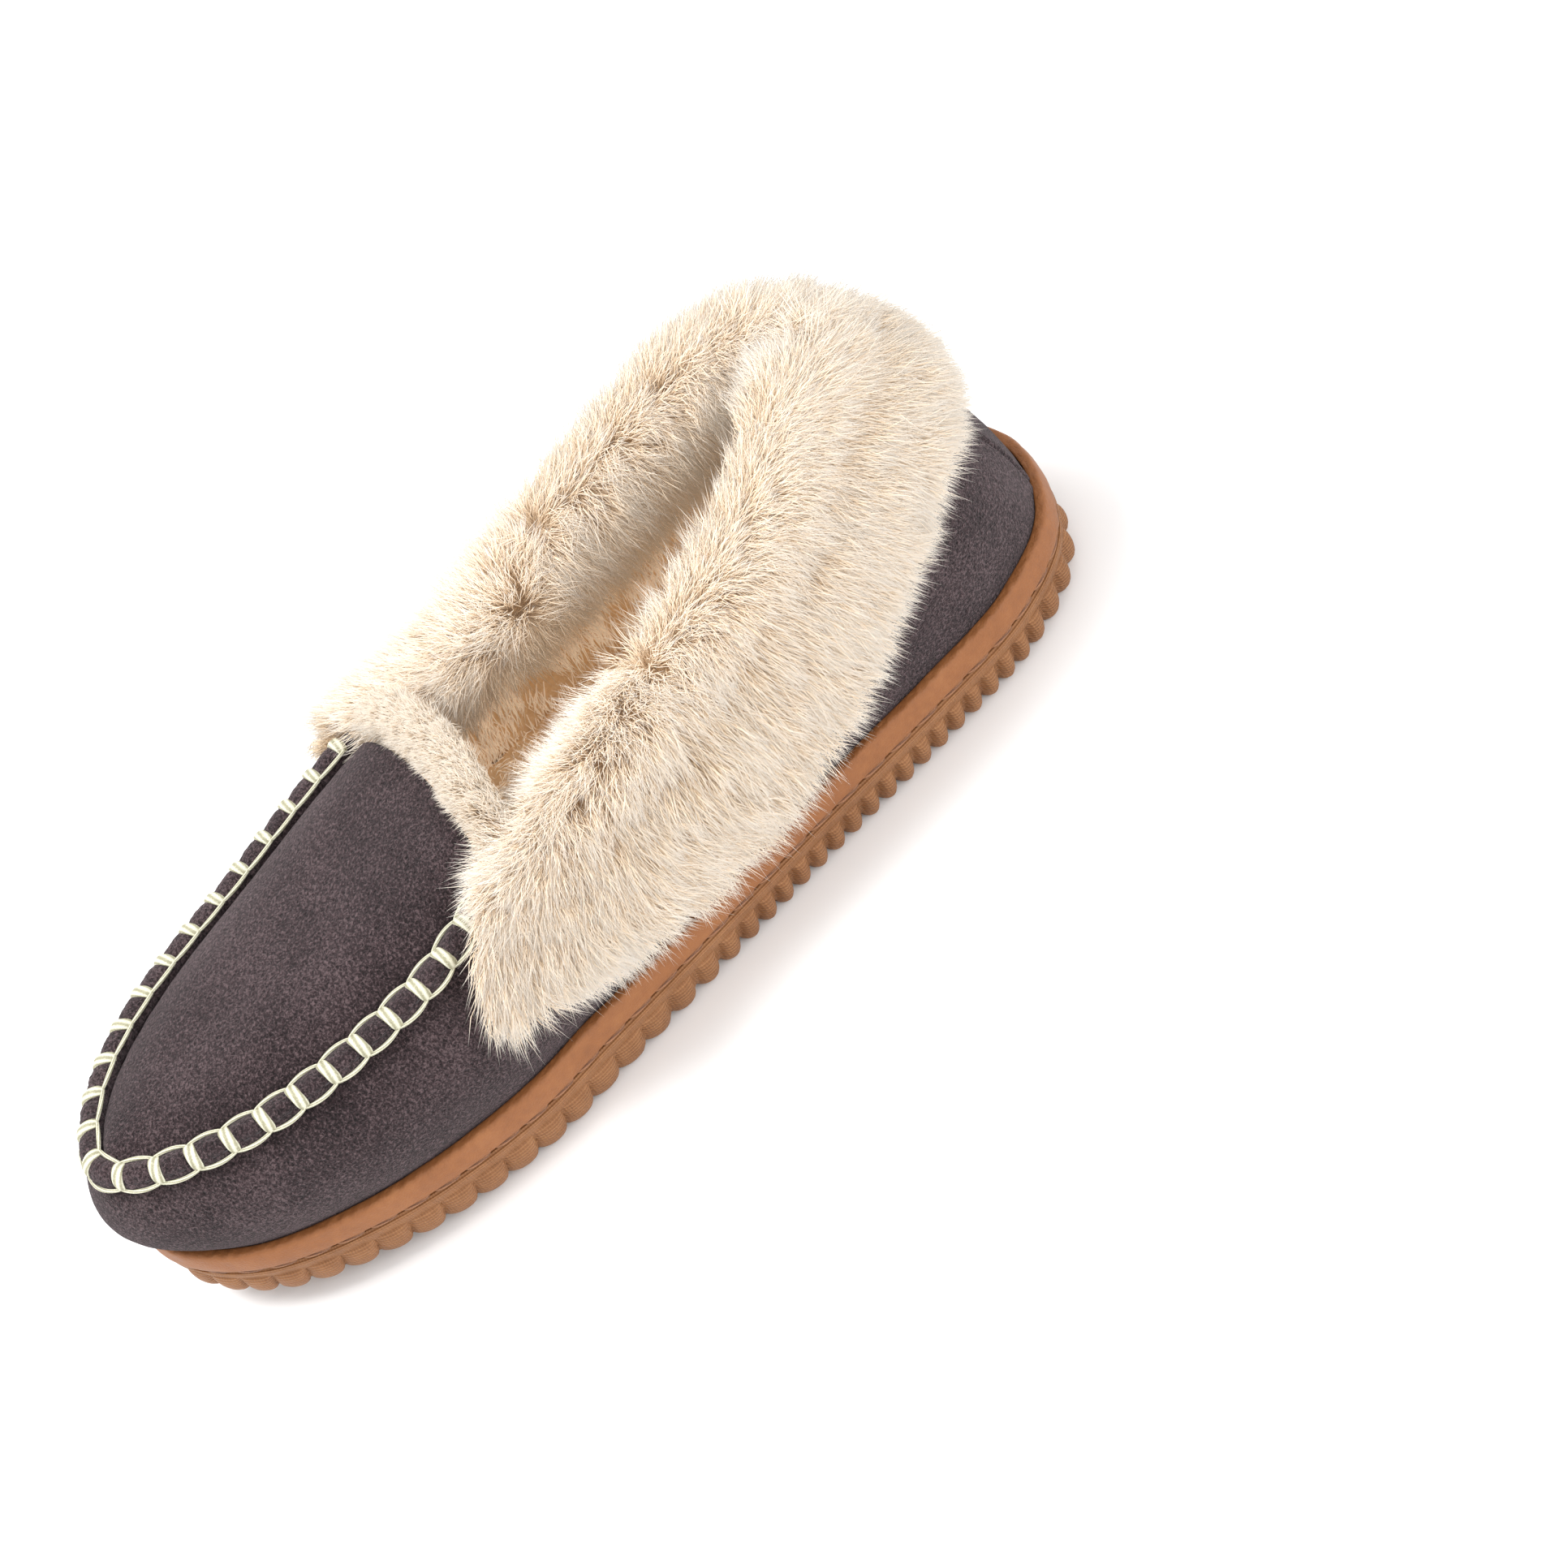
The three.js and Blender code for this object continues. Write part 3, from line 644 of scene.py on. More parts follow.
def tread_panel():
    """A thin closed slab, patterned below and plain on its hidden upper side."""
    grid = across_foot(TREAD_RIM - 0.4, 520, 190, 0.0, 1.0)
    x, y = grid[..., 0], grid[..., 1]
    plate = plate_mask(x, y)
    depth = tread_height(x, y) * (1 - plate) - 0.1 * plate
    grid[..., 2] = TREAD_RECESS - depth + lift(y, 0)
    back = grid[:, ::-21].copy()
    back[..., 2] = TREAD_RECESS + 1.6 + lift(back[..., 1], 0)
    slab = np.concatenate([grid, back], axis=1)
    return grid_object("tread_panel", slab, slab[..., :2].copy())


def plate_mask(x, y):
    """1 inside the plain oblong at the arch."""
    along, across = (y - PLATE_Y) / PLATE_HALF_LENGTH, (x - PLATE_X) / PLATE_HALF_WIDTH
    return smooth(1.03, 1.0, np.maximum(np.abs(along), np.abs(across)))


def tread_plate_rim():
    """A raised frame round the plain oblong at the arch."""
    corners = [(PLATE_X + i * PLATE_HALF_WIDTH, PLATE_Y + j * PLATE_HALF_LENGTH)
               for i, j in SQUARE]
    path = []
    for (x0, y0), (x1, y1) in zip(corners, corners[1:] + corners[:1]):
        path += [(mix(x0, x1, t), mix(y0, y1, t)) for t in loop(20, 1)]
    path = np.array([[(x, y, TREAD_RECESS + 0.1) for x, y in path + path[:1]]])
    return tubes("tread_plate_rim", path, 0.55, UP)


STITCH_PITCH = 8.1


def sole_stitches():
    """Separate lockstitches lying in the groove round the sole."""
    count = int(ROUND / STITCH_PITCH)
    arc = (np.arange(count)[:, None] + np.linspace(0.04, 0.96, 9)) * (ROUND / count)
    ends = np.linspace(-1, 1, 9) ** 4
    path = sole_point(station_at(arc), 1.05 + 0.9 * ends, GROOVE_HEIGHT - 0.05)
    return tubes("sole_stitches", path, 0.5 * (1 - 0.45 * ends), UP, 7)


finish_piece(ribbed_side(), rubber_ribbed, "rubber", "outsole")
finish_piece(smooth_band(), rubber_smooth, "rubber", "outsole")
finish_piece(tread_panel(), rubber_ribbed, "rubber", "outsole")
finish_piece(tread_plate_rim(), rubber_smooth, "rubber", "outsole")
finish_piece(sole_stitches(), thread_brown, "thread", "sole_stitching")


# ---------- toe seam ----------
SEAM_FROM, SEAM_TO = THROAT_MEDIAL + 0.1, THROAT_LATERAL - 0.1
seam_stations = np.linspace(SEAM_FROM, SEAM_TO, 1600)
seam_arc = running_length(on_last(TOP_EDGE, seam_stations))
BARS = int(round(seam_arc[-1] / LACE_PITCH))


def seam_station(arc):
    return np.interp(arc, seam_arc, seam_stations)


def seam_phase(station):
    """Whole numbers at the lace's bars, counted along the seam."""
    return np.interp(station, seam_stations, seam_arc) / seam_arc[-1] * BARS


def around_seam(station, radius, angle):
    """A point round the piping's middle: angle 0 is its crest, positive towards the wall."""
    station, radius, angle = np.broadcast_arrays(station, radius, angle)
    out = outward(station)
    crest, side = unit(0.45 * out + 0.9 * UP), unit(0.9 * out - 0.45 * UP)
    radius, angle = radius[..., None], angle[..., None]
    around = crest * radius * np.cos(angle) + side * radius * np.sin(angle)
    return on_last(TOP_EDGE, station) + around


STITCH_ANGLE = 0.75  # of the machine stitches, from the crest


def piping():
    """The rolled seam: it swells between the lace's bars and is pinched under them."""
    station = np.linspace(SEAM_FROM - 0.1, SEAM_TO + 0.1, 1100)[:, None]
    angle = loop(40) - math.pi
    pinch = np.abs(np.sin(math.pi * seam_phase(station))) ** 0.6
    surface = pairs(station * 40, angle * 3)
    creases = 0.10 * waves(surface, 5, 11) + 0.05 * waves(surface, 2, 12)
    radius = PIPING_RADIUS - 0.75 + 0.85 * pinch + creases
    stitch = np.exp(-(((angle - STITCH_ANGLE) * 3) / 0.35) ** 2) * 0.35
    grid = around_seam(station, radius - stitch, angle)
    return grid_object("seam_roll", grid)


BAR_LEAN = -0.07  # bars lean along the seam by this share of their pitch on each side
BAR_REACH = 1.35  # angle at which a bar goes under the suede


def lace_bars():
    """Flat bundles of cord crossing over the seam."""
    number = np.arange(BARS + 1)[:, None]
    angle = np.linspace(-BAR_REACH, BAR_REACH, 15)
    lean = BAR_LEAN * (np.sin(angle) + np.cos(angle))
    station = seam_station((number + lean) / BARS * seam_arc[-1])
    reach = PIPING_RADIUS - 0.35 + 0.3 * np.cos(angle / BAR_REACH * math.pi / 2)
    path = around_seam(station, reach, angle)
    normal = path - on_last(TOP_EDGE, station)
    width = 1.45 * (1 - 0.4 * (np.abs(angle) / BAR_REACH) ** 4)
    return tubes("lace_bars", path, width, normal, 14, 0.45)


def lace_loops(name, side):
    """Thin cords joining the ends of the bars in shallow scallops along one side of the seam."""
    number = np.arange(BARS)[:, None]
    t = np.linspace(0, 1, 17)
    bow = np.sin(math.pi * t) ** 0.8
    arc = (number + t + BAR_LEAN * side) / BARS * seam_arc[-1]
    path = around_seam(seam_station(arc), PIPING_RADIUS - 0.2 + 0.75 * bow,
                       side * (1.22 + 0.06 * bow))
    return tubes(name, path, 0.4 + 0.1 * bow, UP)


def seam_machine_stitches():
    """Fine dark stitches along the seam's outer flank."""
    count = int(seam_arc[-1] / 2.6)
    arc = (np.arange(count)[:, None] + np.linspace(0.08, 0.92, 5)) / count * seam_arc[-1]
    ends = np.linspace(-1, 1, 5) ** 2
    path = around_seam(seam_station(arc), PIPING_RADIUS - 0.25 - 0.3 * ends, STITCH_ANGLE)
    return tubes("seam_machine_stitches", path, 0.2, UP, 5)


finish_piece(piping(), suede, "suede", "moc_piping")
finish_piece(lace_bars(), lace_cord, "lace", "whipstitch_lace")
for loops_name, loops_side in (("lace_loops_outer", 1), ("lace_loops_inner", -1)):
    finish_piece(lace_loops(loops_name, loops_side), lace_cord, "lace", "whipstitch_lace")
finish_piece(seam_machine_stitches(), thread_dark, "thread")


# ---------- upper ----------
BACK_SEAM = 0.6  # station of the closed seam up the back of the heel


def puckers(station, t):
    """Dimples pulled into the suede beside the toe seam, one to each bar of the lace."""
    inside = seam_zone(station)
    pull = 0.5 - 0.5 * np.cos(2 * math.pi * seam_phase(station))
    return inside * (1 - pull) * np.exp(-((1 - t) / 0.1) ** 2) * 0.9


def suede_wall():
    """The wall's skin: over the outside from under the rubber to the seam, and back inside."""
    station = np.concatenate([loop(160, 1.2),
                              np.linspace(1.2, STATIONS, 1000, endpoint=False)])[:, None]
    t = np.concatenate([loop(30, 0.7), np.linspace(0.7, 1, 22)])[None]
    outer = wall_point(station, t, 0)
    gap = arc_at(station) - arc_at(BACK_SEAM)
    seam = np.exp(-(gap / 0.75) ** 2) * 1.6 - np.exp(-(gap / 3.4) ** 2) * 0.7
    wrinkle = 0.25 * waves(outer, 46, 21) + 0.1 * waves(outer, 17, 22) + 0.03 * waves(outer, 5, 23)
    hem = smooth(0.06, 0.0, t) * 0.05
    depth = puckers(station, t) + seam + wrinkle * smooth(0, 0.12, t) + hem
    outer = outer - outward(station) * depth[..., None]
    tuck = sole_point(station, WALL_INSET + 0.05, np.array([[15.0, 18.0, 20.5]]))
    inner = wall_point(station, np.linspace(1, 0, 8)[None], SUEDE)
    inner_tuck = sole_point(station, WALL_INSET + SUEDE, np.array([[18.0, 15.0]]))
    grid = np.concatenate([tuck, outer, inner, inner_tuck], axis=1)
    return grid_object("suede_wall_cover", grid, ends="joined")


PLUG_EDGE = 2.4  # the plug's edge lies this far inside the middle of the piping
THROAT_BOW, CROWN = 5, 8
THROAT_CROWN = 1.5  # it stands this much fuller near the throat


def plug_point(a, b, drop):
    """The plug: a runs from 0 at the toe tip to 1 at the throat, b from lateral to medial."""
    a, b, drop = np.broadcast_arrays(a, b, drop)
    lateral, medial = mix(TOE, THROAT_LATERAL, a), mix(TOE, THROAT_MEDIAL, a)
    sides = [on_last(TOP_EDGE, k) - outward(k) * PLUG_EDGE for k in (lateral, medial)]
    p = mix(sides[0], sides[1], ((b + 1) / 2)[..., None])
    p[..., 1] += THROAT_BOW * smooth(0.7, 1, a) * (1 - b * b)
    dome = 1 - np.abs(b) ** (2 + 1.4 * smooth(0.2, 0.8, a))
    crown = CROWN + THROAT_CROWN * smooth(0.3, 0.9, a)
    p[..., 2] += dome * crown * np.sqrt(np.minimum(1, a * 1.6)) - drop
    return p


def toe_plug():
    """The plug's skin, tucked down at its rim, a little deeper at the lace's bars."""
    a = (np.linspace(0.03, 1, 220) ** 1.15)[:, None]
    b = np.sin(np.linspace(-1, 1, 130) * math.pi / 2)[None]
    top = plug_point(a, b, 0)
    rim = np.exp(-((1 - np.abs(b)) / 0.06) ** 2)
    lateral, medial = (seam_phase(mix(TOE, end, a)) for end in (THROAT_LATERAL, THROAT_MEDIAL))
    pull = 0.5 + 0.5 * np.cos(2 * math.pi * np.where(b < 0, lateral, medial))
    wrinkle = 0.3 * waves(top, 60, 31) + 0.12 * waves(top, 22, 32) + 0.03 * waves(top, 6, 33)
    top[..., 2] += wrinkle * (1 - rim) - rim * (0.9 + 0.9 * pull)
    under = plug_point(a, b[:, ::-1], SUEDE + 0.6)
    grid = np.concatenate([top, under], axis=1)
    return grid_object("toe_plug_cover", grid)


finish_piece(suede_wall(), suede, "suede", "suede_wall")
finish_piece(toe_plug(), suede, "suede", "toe_plug")


# ---------- badge ----------
BADGE_STATION, BADGE_T = STATIONS - 2.8, 0.34


def badge():
    """A domed brass button with a raised rim and two plain rings."""
    profile = np.array([(0, -2.5), (1.2, -2.5), (1.2, 0), (6.2, 0), (6.7, 0.2), (6.75, 0.6),
                        (6.5, 1.0), (6.1, 1.15), (5.7, 1.0), (5.3, 0.95), (4.6, 1.2), (4.2, 1.45),
                        (3.9, 1.3), (3.4, 1.35), (2.2, 1.6), (1, 1.75), (0.01, 1.8)])
    base = wall_point(BADGE_STATION, BADGE_T, 0)
    up = unit(wall_point(BADGE_STATION, BADGE_T + 0.05, 0) - base)
    along = unit(wall_point(BADGE_STATION + 0.05, BADGE_T, 0) - base)
    normal = unit(np.cross(along, up))
    if normal @ outward(BADGE_STATION) < 0:
        normal = -normal
    side = unit(np.cross(up, normal))
    up = np.cross(normal, side)
    angle = loop(72)[None, :, None]
    radius, high = profile[:, :1, None], profile[:, 1:, None]
    grid = base + (side * np.cos(angle) + up * np.sin(angle)) * radius + normal * high
    return grid_object("badge", grid)


finish_piece(badge(), brass, "brass", "badge_rivet")


# ---------- fur ----------
PILE_SEED = 7
CUFF_END = 5.6  # station of its front ends, from the back of the heel
ROLL_RADIUS, FRONT_ROLL = 7.14, 3.57  # of the fold over the edge of the mouth
FRONT_HEM, HEEL_HEM = 8, 5  # the cuff's lower edge rises by this much at its ends and heel
HEEL_RISE = 6  # the cuff stands this much higher round the heel
HEEL_LEAN = 8  # its medial side leans this far into the mouth near the heel
LEAN_STATION, LEAN_SPREAD = 1.9, 1.3
FOLD_FROM, FOLD_TO = 0.2, 0.55  # share of the band that folds over
CUFF_PILE, SHORT_PILE, LINING_PILE = 14.5, 6.0, 8.0  # lengths of the strands


def cuff_front(station):
    """0 along the sides and 1 at the cuff's front ends, and which side it is."""
    signed = from_back(station)
    return smooth(3.4, CUFF_END, np.abs(signed)), np.sign(signed)


def cuff_skin(station, s):
    """The folded band that the pile grows from. s is 0 inside the mouth, about 0.38 at the top of
    the roll and 1 at the lower edge outside. Gives the point and the direction out of the band."""
    station, s = np.broadcast_arrays(station, s)
    front, side = cuff_front(station)
    out = outward(station)
    roll = mix(ROLL_RADIUS, FRONT_ROLL, front)
    signed = from_back(station)
    heel = 1 - smooth(1.0, 3.6, np.abs(signed))
    hem = on_last(HEM, station)[..., 0] + 4 + FRONT_HEM * front ** 4 + HEEL_HEM * heel - SOLE_HEIGHT
    hem = hem / (on_last(TOP_EDGE, station)[..., 2] - SOLE_HEIGHT)
    turn = math.pi * np.clip((s - FOLD_FROM) / (FOLD_TO - FOLD_FROM), 0, 1)
    fall = np.clip((s - FOLD_TO) / (1 - FOLD_TO), 0, 1)
    inside = np.clip((FOLD_FROM - s) / FOLD_FROM, 0, 1)
    t = np.where(s < FOLD_FROM, 1 - 0.16 * inside, mix(1, np.maximum(0.1, hem), fall))
    forward = 0.2 + 0.85 * smooth(0.15, 0.7, s) - 1.0 * smooth(0.72, 1.0, s)
    swept = station + side * front * forward * np.where(side > 0, 1, 0.55)
    base = wall_point(swept, t, 0)
    folding = (s >= FOLD_FROM) & (s <= FOLD_TO)
    over = np.where(turn > math.pi / 2, roll, roll + 1) * -np.cos(turn)
    outside = mix(roll, mix(3.0, 1.2, front), smooth(0.2, 1.0, fall))
    across = np.where(folding, over, np.where(s < FOLD_FROM, -roll - 1, outside))
    near = np.exp(-((signed - LEAN_STATION) / LEAN_SPREAD) ** 2)
    lean = HEEL_LEAN * near * smooth(0, 0.25, s) * (1 - smooth(0.45, 1, s))
    up = np.where(folding, roll * np.sin(turn) * 1.1, 0) + HEEL_RISE * heel * smooth(0, 0.2, s)
    point = base + out * (across - lean)[..., None] + UP * up[..., None]
    outwards = out * (-np.cos(turn))[..., None] + UP * np.sin(turn)[..., None]
    return point, unit(outwards)


def cuff_body():
    """The band itself, hidden under its pile: a closed folded strip."""
    station = np.linspace(-CUFF_END + 0.22, CUFF_END - 0.22, 260)[:, None]
    outer, normal = cuff_skin(station, np.linspace(0, 0.95, 60))
    lumps = 0.5 * waves(outer, 9, 41) + 0.3 * waves(outer, 4, 42)
    outer = outer - normal * 1.0 + normal * lumps[..., None]
    inner = outer[:, ::-6] - normal[:, ::-6] * 1.6
    grid = np.concatenate([outer, inner], axis=1)
    return grid_object("cuff_body", grid)


GATHER = 0.45  # how far the tips of a tuft draw together


def tufts(name, roots, normals, flows, count, spread, length, rise, rng, width=0.34, jitter=0.28):
    """Tapered closed strands in tufts. roots, normals and flows have one row for each tuft. count
    strands stand in each, spread round its root, and rise is how steeply they stand."""
    total = len(roots)
    strands = total * count
    rise = np.asarray(rise)[..., None]
    first = unit(flows + normals * rise + rng.normal(0, jitter, (total, 3)))
    last = unit(flows * 1.15 + normals * (rise * 0.45)
                + rng.normal(0, jitter, (total, 3)) - UP * 0.25)
    offset = rng.normal(0, spread, (total, count, 3))
    offset -= normals[:, None] * (offset * normals[:, None]).sum(-1, keepdims=True)
    tuft_length = length * rng.uniform(0.8, 1.15, (total, 1))
    each = tuft_length * rng.uniform(0.62, 1.08, (total, count))
    t = np.array([0, 0.5, 1.0])[:, None]
    first = unit(first[:, None] + rng.normal(0, 0.16, (total, count, 3)))[:, :, None]
    last = unit(last[:, None] + rng.normal(0, 0.2, (total, count, 3)))[:, :, None]
    path = roots[:, None, None] + offset[:, :, None] * (1 - GATHER * t)
    path = path + each[..., None, None] * (first * (t - t * t / 2) + last * (t * t / 2))
    path = path + rng.normal(0, 0.5, (total, count, 1, 3)) * np.sin(math.pi * t) ** 2
    sides = unit(rng.normal(size=(strands, 1, 3)))
    path = path.reshape(strands, 3, 3)
    along = unit(np.gradient(path, axis=1))
    across = unit(np.cross(along, sides))
    high = np.cross(along, across)
    angle = np.array([0, 2, 4]) * math.pi / 3
    thick = np.array([0.9, 1.0])[:, None, None] * width / 2
    ring = across[:, :2, None] * np.cos(angle)[:, None] + high[:, :2, None] * np.sin(angle)[:, None]
    rings = (path[:, :2, None] + ring * thick).reshape(strands, 6, 3)
    points = np.concatenate([rings, path[:, 2:]], axis=1)
    one = [[0, 2, 1]]
    for i in range(3):
        j = (i + 1) % 3
        one += [[i, j, 3 + j], [i, 3 + j, 3 + i], [3 + i, 3 + j, 6]]
    faces = (np.array(one)[None] + (np.arange(strands) * 7)[:, None, None]).reshape(-1, 3)
    where = np.tile(np.array([0, 0, 0, 0.5, 0.5, 0.5, 1.0]), strands)
    tone = np.repeat(np.clip(rng.beta(1.6, 3.2, total), 0, 1), count * 7)
    tone = np.clip(tone + np.repeat(rng.normal(0, 0.12, strands), 7), 0, 1)
    return make_object(name, points.reshape(-1, 3), [faces], None, {"along": where, "tuft": tone})


def cuff_flow(station, s):
    """Where the pile grows and which way it lies: into the mouth inside, down and towards the
    heel outside, and towards the toe at the front ends."""
    point, normal = cuff_skin(station, s)
    ahead, _ = cuff_skin(station, np.minimum(s + 0.02, 1.0))
    behind, _ = cuff_skin(station, np.maximum(s - 0.02, 0.0))
    down = unit(ahead - behind)
    front, side = cuff_front(station)
    toeward = smooth(2.8, CUFF_END, np.abs(from_back(station))) ** 1.4
    parting = 0.36 - 0.22 * smooth(0.1, 0.4, front)
    away = np.tanh((s - parting) / 0.09)
    heelward = unit(np.cross(UP, outward(station))) * side[:, None]
    forward = -0.95 * (1 - 0.5 * smooth(0.75, 1.0, s))
    sweep = mix(0.5, forward, toeward)
    sweep += 0.2 * waves(point, 60, 51) + 0.38 * waves(point, 13, 52)
    return point, normal, unit(down * away[:, None] + heelward * sweep[:, None])


def cuff_fur(parts, per_part, strands):
    """The cuff's pile, in several meshes of so many tufts each."""
    rng = np.random.default_rng(PILE_SEED)
    for part in range(parts):
        station = rng.uniform(-CUFF_END, CUFF_END, per_part)
        s = rng.uniform(0.0, 1.0, per_part)
        point, normal, flow = cuff_flow(station, s)
        crest = np.exp(-((s - 0.38) / 0.16) ** 2)
        rise = 1.0 + 0.6 * crest + 0.2 * waves(point, 11, 53)
        length = CUFF_PILE - 2.5 * smooth(0.8, 1.0, s) - 1.5 * crest
        piece = tufts(f"cuff_fur_{part + 1}", point, normal, flow, strands, 1.1,
                      length[:, None], rise, rng, width=0.22, jitter=0.3)
        finish_piece(piece, cuff_pile, "cuff_fur", "fur_cuff")


band = finish_piece(cuff_body(), pile_base, "cuff_fur", "fur_cuff")
cuff_fur(parts=12, per_part=1660, strands=12)


TONGUE_RADIUS, TONGUE_END = 2.4, 0.92
TONGUE_OFFSET = np.array([0, 7.0, 2.5])  # from the plug's edge at the throat


def tongue_point(b, angle):
    """A point of the roll across the throat, and the direction out of it."""
    angle = angle[..., None]
    around = np.array([0, 1.0, 0]) * np.cos(angle) + UP * np.sin(angle)
    return plug_point(1, b, 0) + TONGUE_OFFSET + around * TONGUE_RADIUS, around


def tongue():
    b = np.linspace(-TONGUE_END, TONGUE_END, 60)[:, None]
    grid, _ = tongue_point(b, loop(20))
    body = grid_object("tongue_body", grid)
    finish_piece(body, pile_base, "cuff_fur", "tongue_fur")
    rng = np.random.default_rng(PILE_SEED + 1)
    count = 880
    where, turn = rng.uniform(-TONGUE_END, TONGUE_END, count), rng.uniform(-1.6, 3.6, count)
    roots, normal = tongue_point(where, turn)
    flow = np.tile(unit(np.array([0, -0.2, 0.35])), (count, 1))
    piece = tufts("tongue_pile", roots, normal, flow, 18, 0.9, SHORT_PILE, 1.1, rng, width=0.24,
                  jitter=0.2)
    finish_piece(piece, tongue_pile, "cuff_fur", "tongue_fur")


FLEECE = 3.2  # thickness of the wall's fleece


def lining():
    """Fleece over the inside of the wall, with standing pile."""
    station = loop(240, STATIONS)[:, None]
    front, _ = cuff_front(station)
    t = np.linspace(0, 1, 30)[None] * mix(0.84, 0.97, smooth(0.9, 1, front))
    face = wall_point(station, t, SUEDE + FLEECE)
    face = face + outward(station) * (0.5 * waves(face, 8, 61))[..., None]
    back = wall_point(station, t[:, ::-5], SUEDE + 0.3)
    grid = np.concatenate([face, back], axis=1)
    body = grid_object("wall_fleece", grid, ends="joined")
    finish_piece(body, pile_base, "lining_fur", "wall_lining")
    rng = np.random.default_rng(PILE_SEED + 2)
    count = 700
    k, t = rng.uniform(-6.5, 6.5, count), rng.uniform(0.02, 0.86, count)
    roots = wall_point(k, t, SUEDE + FLEECE)
    normal = -outward(k)
    flow = unit(-UP + 0.6 * unit(np.cross(UP, outward(k))) * waves(roots, 50, 62)[:, None])
    pile = tufts("wall_fleece_pile", roots, normal, flow, 17, 1.6, LINING_PILE, 0.8, rng)
    finish_piece(pile, lining_pile, "lining_fur", "wall_lining")


def plug_fleece():
    a, b = np.linspace(0.16, 0.985, 60)[:, None], np.linspace(-0.95, 0.95, 30)[None]
    top = plug_point(a, b, SUEDE + 0.9)
    under = plug_point(a, b[:, ::-1], SUEDE + 4.5)
    under[..., 2] += 0.4 * waves(under, 7, 63)
    grid = np.concatenate([top, under], axis=1)
    body = grid_object("plug_fleece", grid)
    finish_piece(body, pile_base, "lining_fur", "plug_lining")


FOOTBED_INSET, FOOTBED_TOP, FOOTBED_UNDER = 6.9, 22.0, 19.6
VOXEL = 1.5
INNER_PRESSURE = 4.0
SIMULATED_FRAMES = 20
SWELL_LIMIT = 0.7  # how far the simulation may move a point


def bake_modifiers(obj):
    """Applies the modifiers of a piece to its mesh."""
    shown = obj.evaluated_get(bpy.context.evaluated_depsgraph_get())
    baked = bpy.data.meshes.new_from_object(shown)
    obj.modifiers.clear()
    obj.data = baked


def positions(mesh):
    flat = np.empty(len(mesh.vertices) * 3, dtype=np.float32)
    mesh.vertices.foreach_get("co", flat)
    return flat.reshape(-1, 3).astype(float)


def swell(obj):
    """Plumps a padded body by a short cloth simulation with pressure inside it."""
    remesh = obj.modifiers.new("remesh", "REMESH")
    remesh.mode = "VOXEL"
    remesh.voxel_size = VOXEL * MM
    remesh.use_smooth_shade = True
    bake_modifiers(obj)
    cloth = obj.modifiers.new("cloth", "CLOTH")
    cloth.settings.use_pressure = True
    cloth.settings.uniform_pressure_force = INNER_PRESSURE
    cloth.settings.effector_weights.gravity = 0
    for step in range(1, SIMULATED_FRAMES + 1):
        bpy.context.scene.frame_set(step)
    start = positions(obj.data)
    settled = positions(obj.evaluated_get(bpy.context.evaluated_depsgraph_get()).data)
    obj.modifiers.clear()
    move = settled - start
    distance = np.linalg.norm(move, axis=1, keepdims=True)
    move *= np.minimum(1, SWELL_LIMIT * MM / np.maximum(distance, 1e-9))
    obj.data.vertices.foreach_set("co", (start + move).astype(np.float32).ravel())
    bpy.context.scene.frame_set(1)
    obj.modifiers.new("finer", "SUBSURF").levels = 1
    bake_modifiers(obj)


def footbed():
    """The padded fleece over the cushion, a little higher along its edges, with its pile."""
    top = across_foot(FOOTBED_INSET, 120, 40)
    rise = lift(top[..., 1], 20)
    under = top[:, ::-1].copy()
    under[..., 2] = FOOTBED_UNDER + rise[:, ::-1]
    edge = np.linspace(-1, 1, 40) ** 4
    top[..., 2] = FOOTBED_TOP + 0.5 * waves(top, 9, 64) + 1.2 * edge + rise
    grid = np.concatenate([top, under], axis=1)
    body = grid_object("footbed_fleece", grid)
    swell(body)
    finish_piece(body, pile_base, "lining_fur", "footbed_fur")
    rng = np.random.default_rng(PILE_SEED + 3)
    count = 620
    f, b = rng.uniform(0.04, 0.55, count), rng.uniform(0.0, 1.0, count)
    medial = sole_point(f * TOE, FOOTBED_INSET + 3, 0.0)
    lateral = sole_point(STATIONS - f * (STATIONS - TOE), FOOTBED_INSET + 3, 0.0)
    roots = mix(medial, lateral, b[:, None])
    roots[:, 2] = FOOTBED_TOP + lift(roots[:, 1], 20)
    normal = np.tile(UP, (count, 1))
    flow = np.stack([waves(roots, 40, 65), waves(roots, 45, 66) - 0.5, np.zeros(count)], axis=-1)
    pile = tufts("footbed_pile", roots, normal, unit(flow), 18, 1.6, SHORT_PILE, 0.9, rng)
    finish_piece(pile, lining_pile, "lining_fur", "footbed_fur")


tongue()
lining()
plug_fleece()
footbed()

# ---------- CAD pieces that stay inside ----------
for node, material in (("midsole_foam", foam), ("footbed_foam", foam), ("insole_board", board),
                       ("heel_counter", board), ("badge_washer", brass)):
    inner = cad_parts[node]
    inner.data.materials.clear()
    inner.data.materials.append(material)


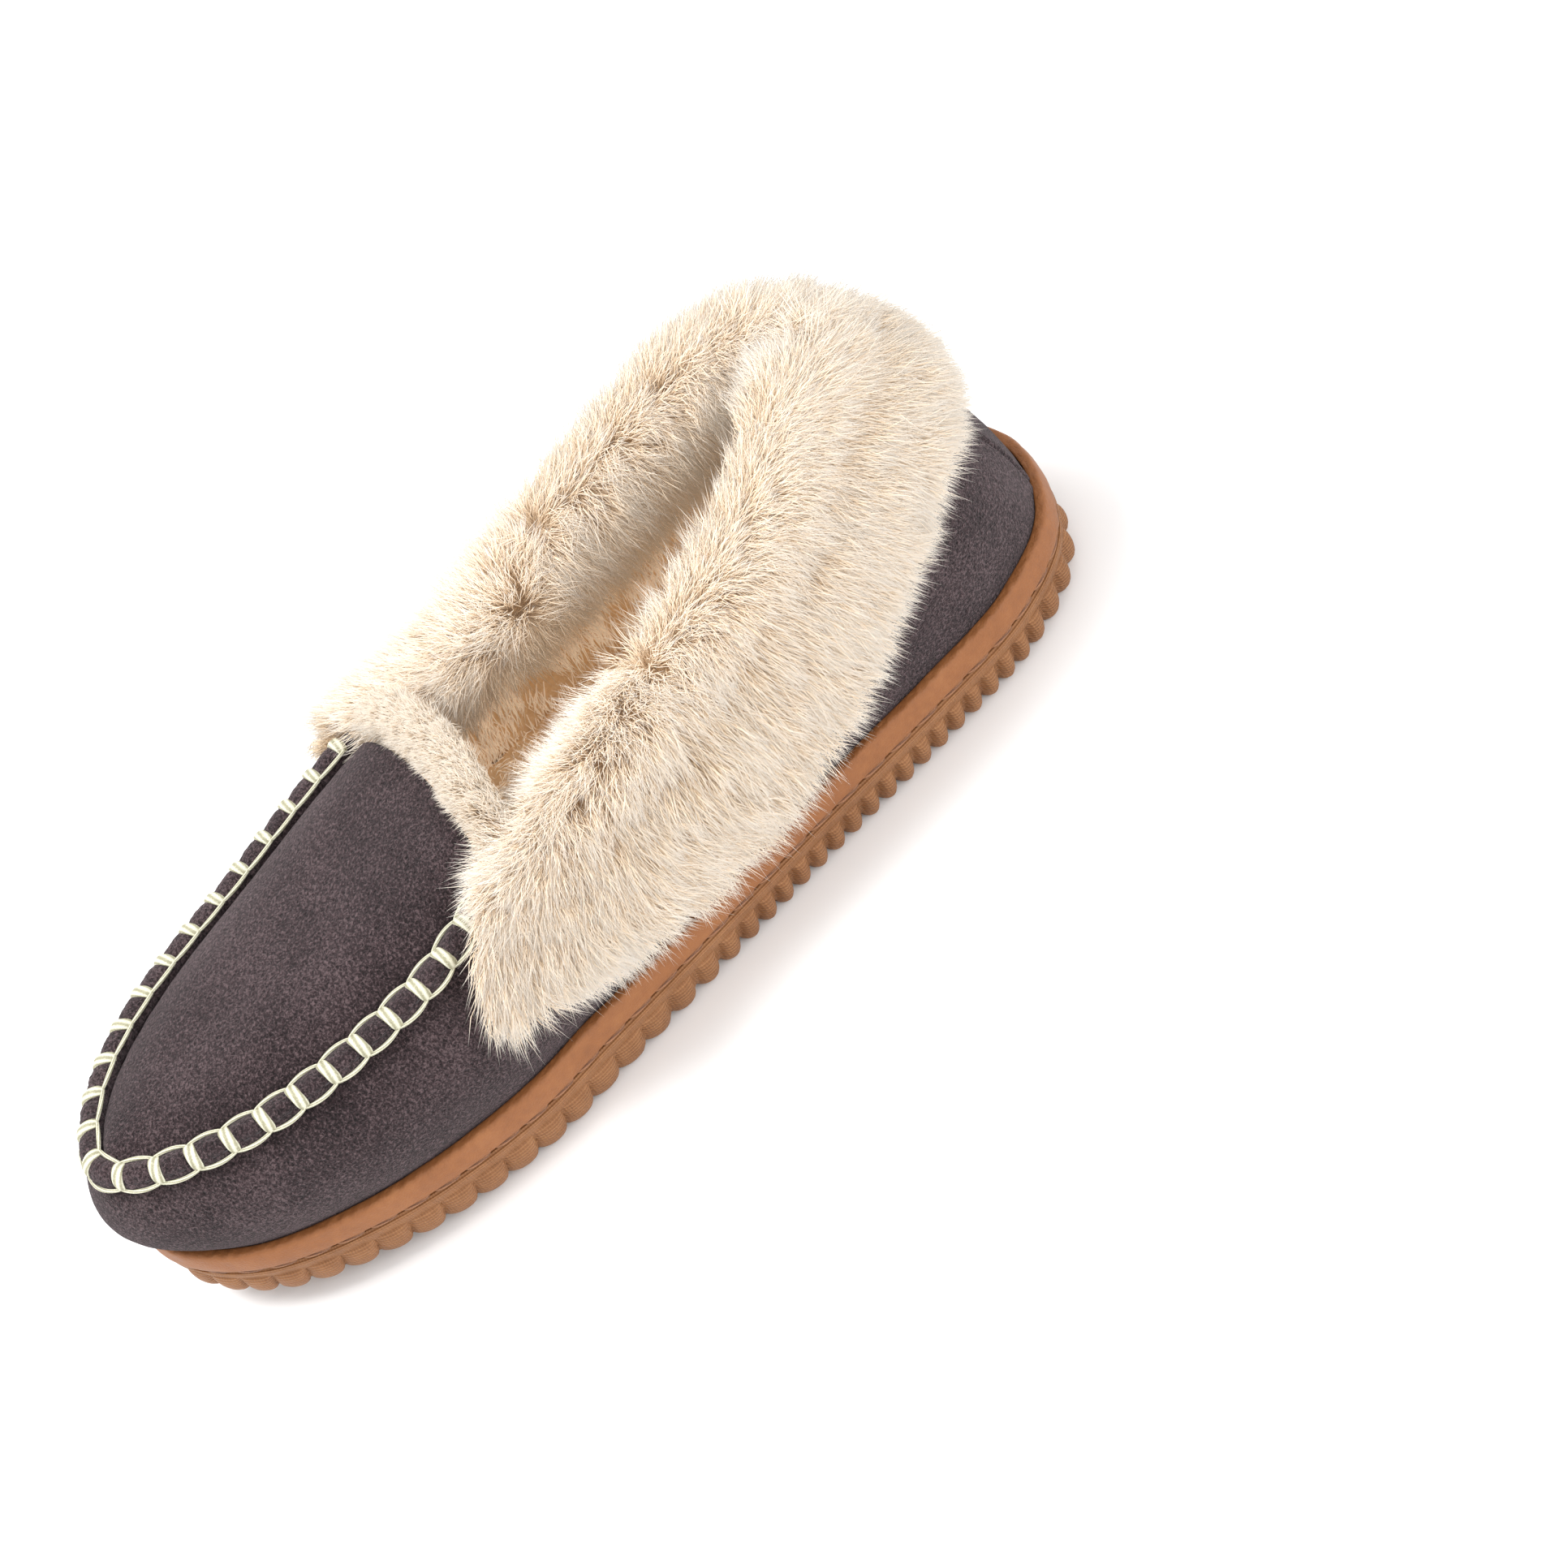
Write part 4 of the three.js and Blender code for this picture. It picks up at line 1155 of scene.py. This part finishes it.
# ---------- floor, light and camera ----------
FLOOR_REACH = 6.0  # metres
LIGHT_AIM = Vector((0, 0, 0.03))


def floor():
    mesh = bpy.data.meshes.new("floor")
    mesh.from_pydata([(i * FLOOR_REACH, j * FLOOR_REACH, 0) for i, j in SQUARE], [], [(0, 1, 2, 3)])
    made = add_object("floor", mesh)
    material, shader, _ = new_material("floor")
    put(shader, {"Base Color": (0.9, 0.9, 0.9, 1), "Roughness": 0.9})
    mesh.materials.append(material)


def area_light(name, place, size, power):
    data = bpy.data.lights.new(name, "AREA")
    data.shape = "SQUARE"
    data.size = size
    data.energy = power
    made = add_object(name, data)
    made.location = place
    made.rotation_mode = "QUATERNION"
    made.rotation_quaternion = (LIGHT_AIM - Vector(place)).to_track_quat("-Z", "Y")


CAMERA_RIGHT = Vector((0.548, 0.720, -0.425))
CAMERA_BACK = Vector((0.656, -0.055, 0.752))
CAMERA_LENS, CAMERA_DISTANCE = 143.4, 1381.8
AIM_RIGHT, AIM_UP = 47.56, 7.93  # from the slipper's middle, in the camera's own directions


def camera():
    """Above the medial side, rolled so that the toe points down."""
    right, back = CAMERA_RIGHT.normalized(), CAMERA_BACK.normalized()
    up = back.cross(right).normalized()
    right = up.cross(back).normalized()
    data = bpy.data.cameras.new("camera")
    data.sensor_width = 36
    data.lens = CAMERA_LENS
    made = add_object("camera", data)
    aim = Vector((0, 0, 30)) + AIM_RIGHT * right + AIM_UP * up + Vector(SHIFT)
    place = (aim + CAMERA_DISTANCE * back) * MM
    turn = Matrix((right, up, back)).transposed().to_4x4()
    made.matrix_world = Matrix.Translation(place) @ turn
    bpy.context.scene.camera = made


def white_world():
    world = bpy.data.worlds.new("studio")
    world.use_nodes = True
    put(world.node_tree.nodes["Background"], {"Color": (1, 1, 1, 1), "Strength": 1.0})
    bpy.context.scene.world = world
    bpy.context.scene.view_settings.view_transform = "Standard"


floor()
white_world()
area_light("key", (-0.3, -0.5, 1.6), size=0.9, power=28)
area_light("fill", (1.2, 0.7, 0.9), size=1.2, power=14)
camera()
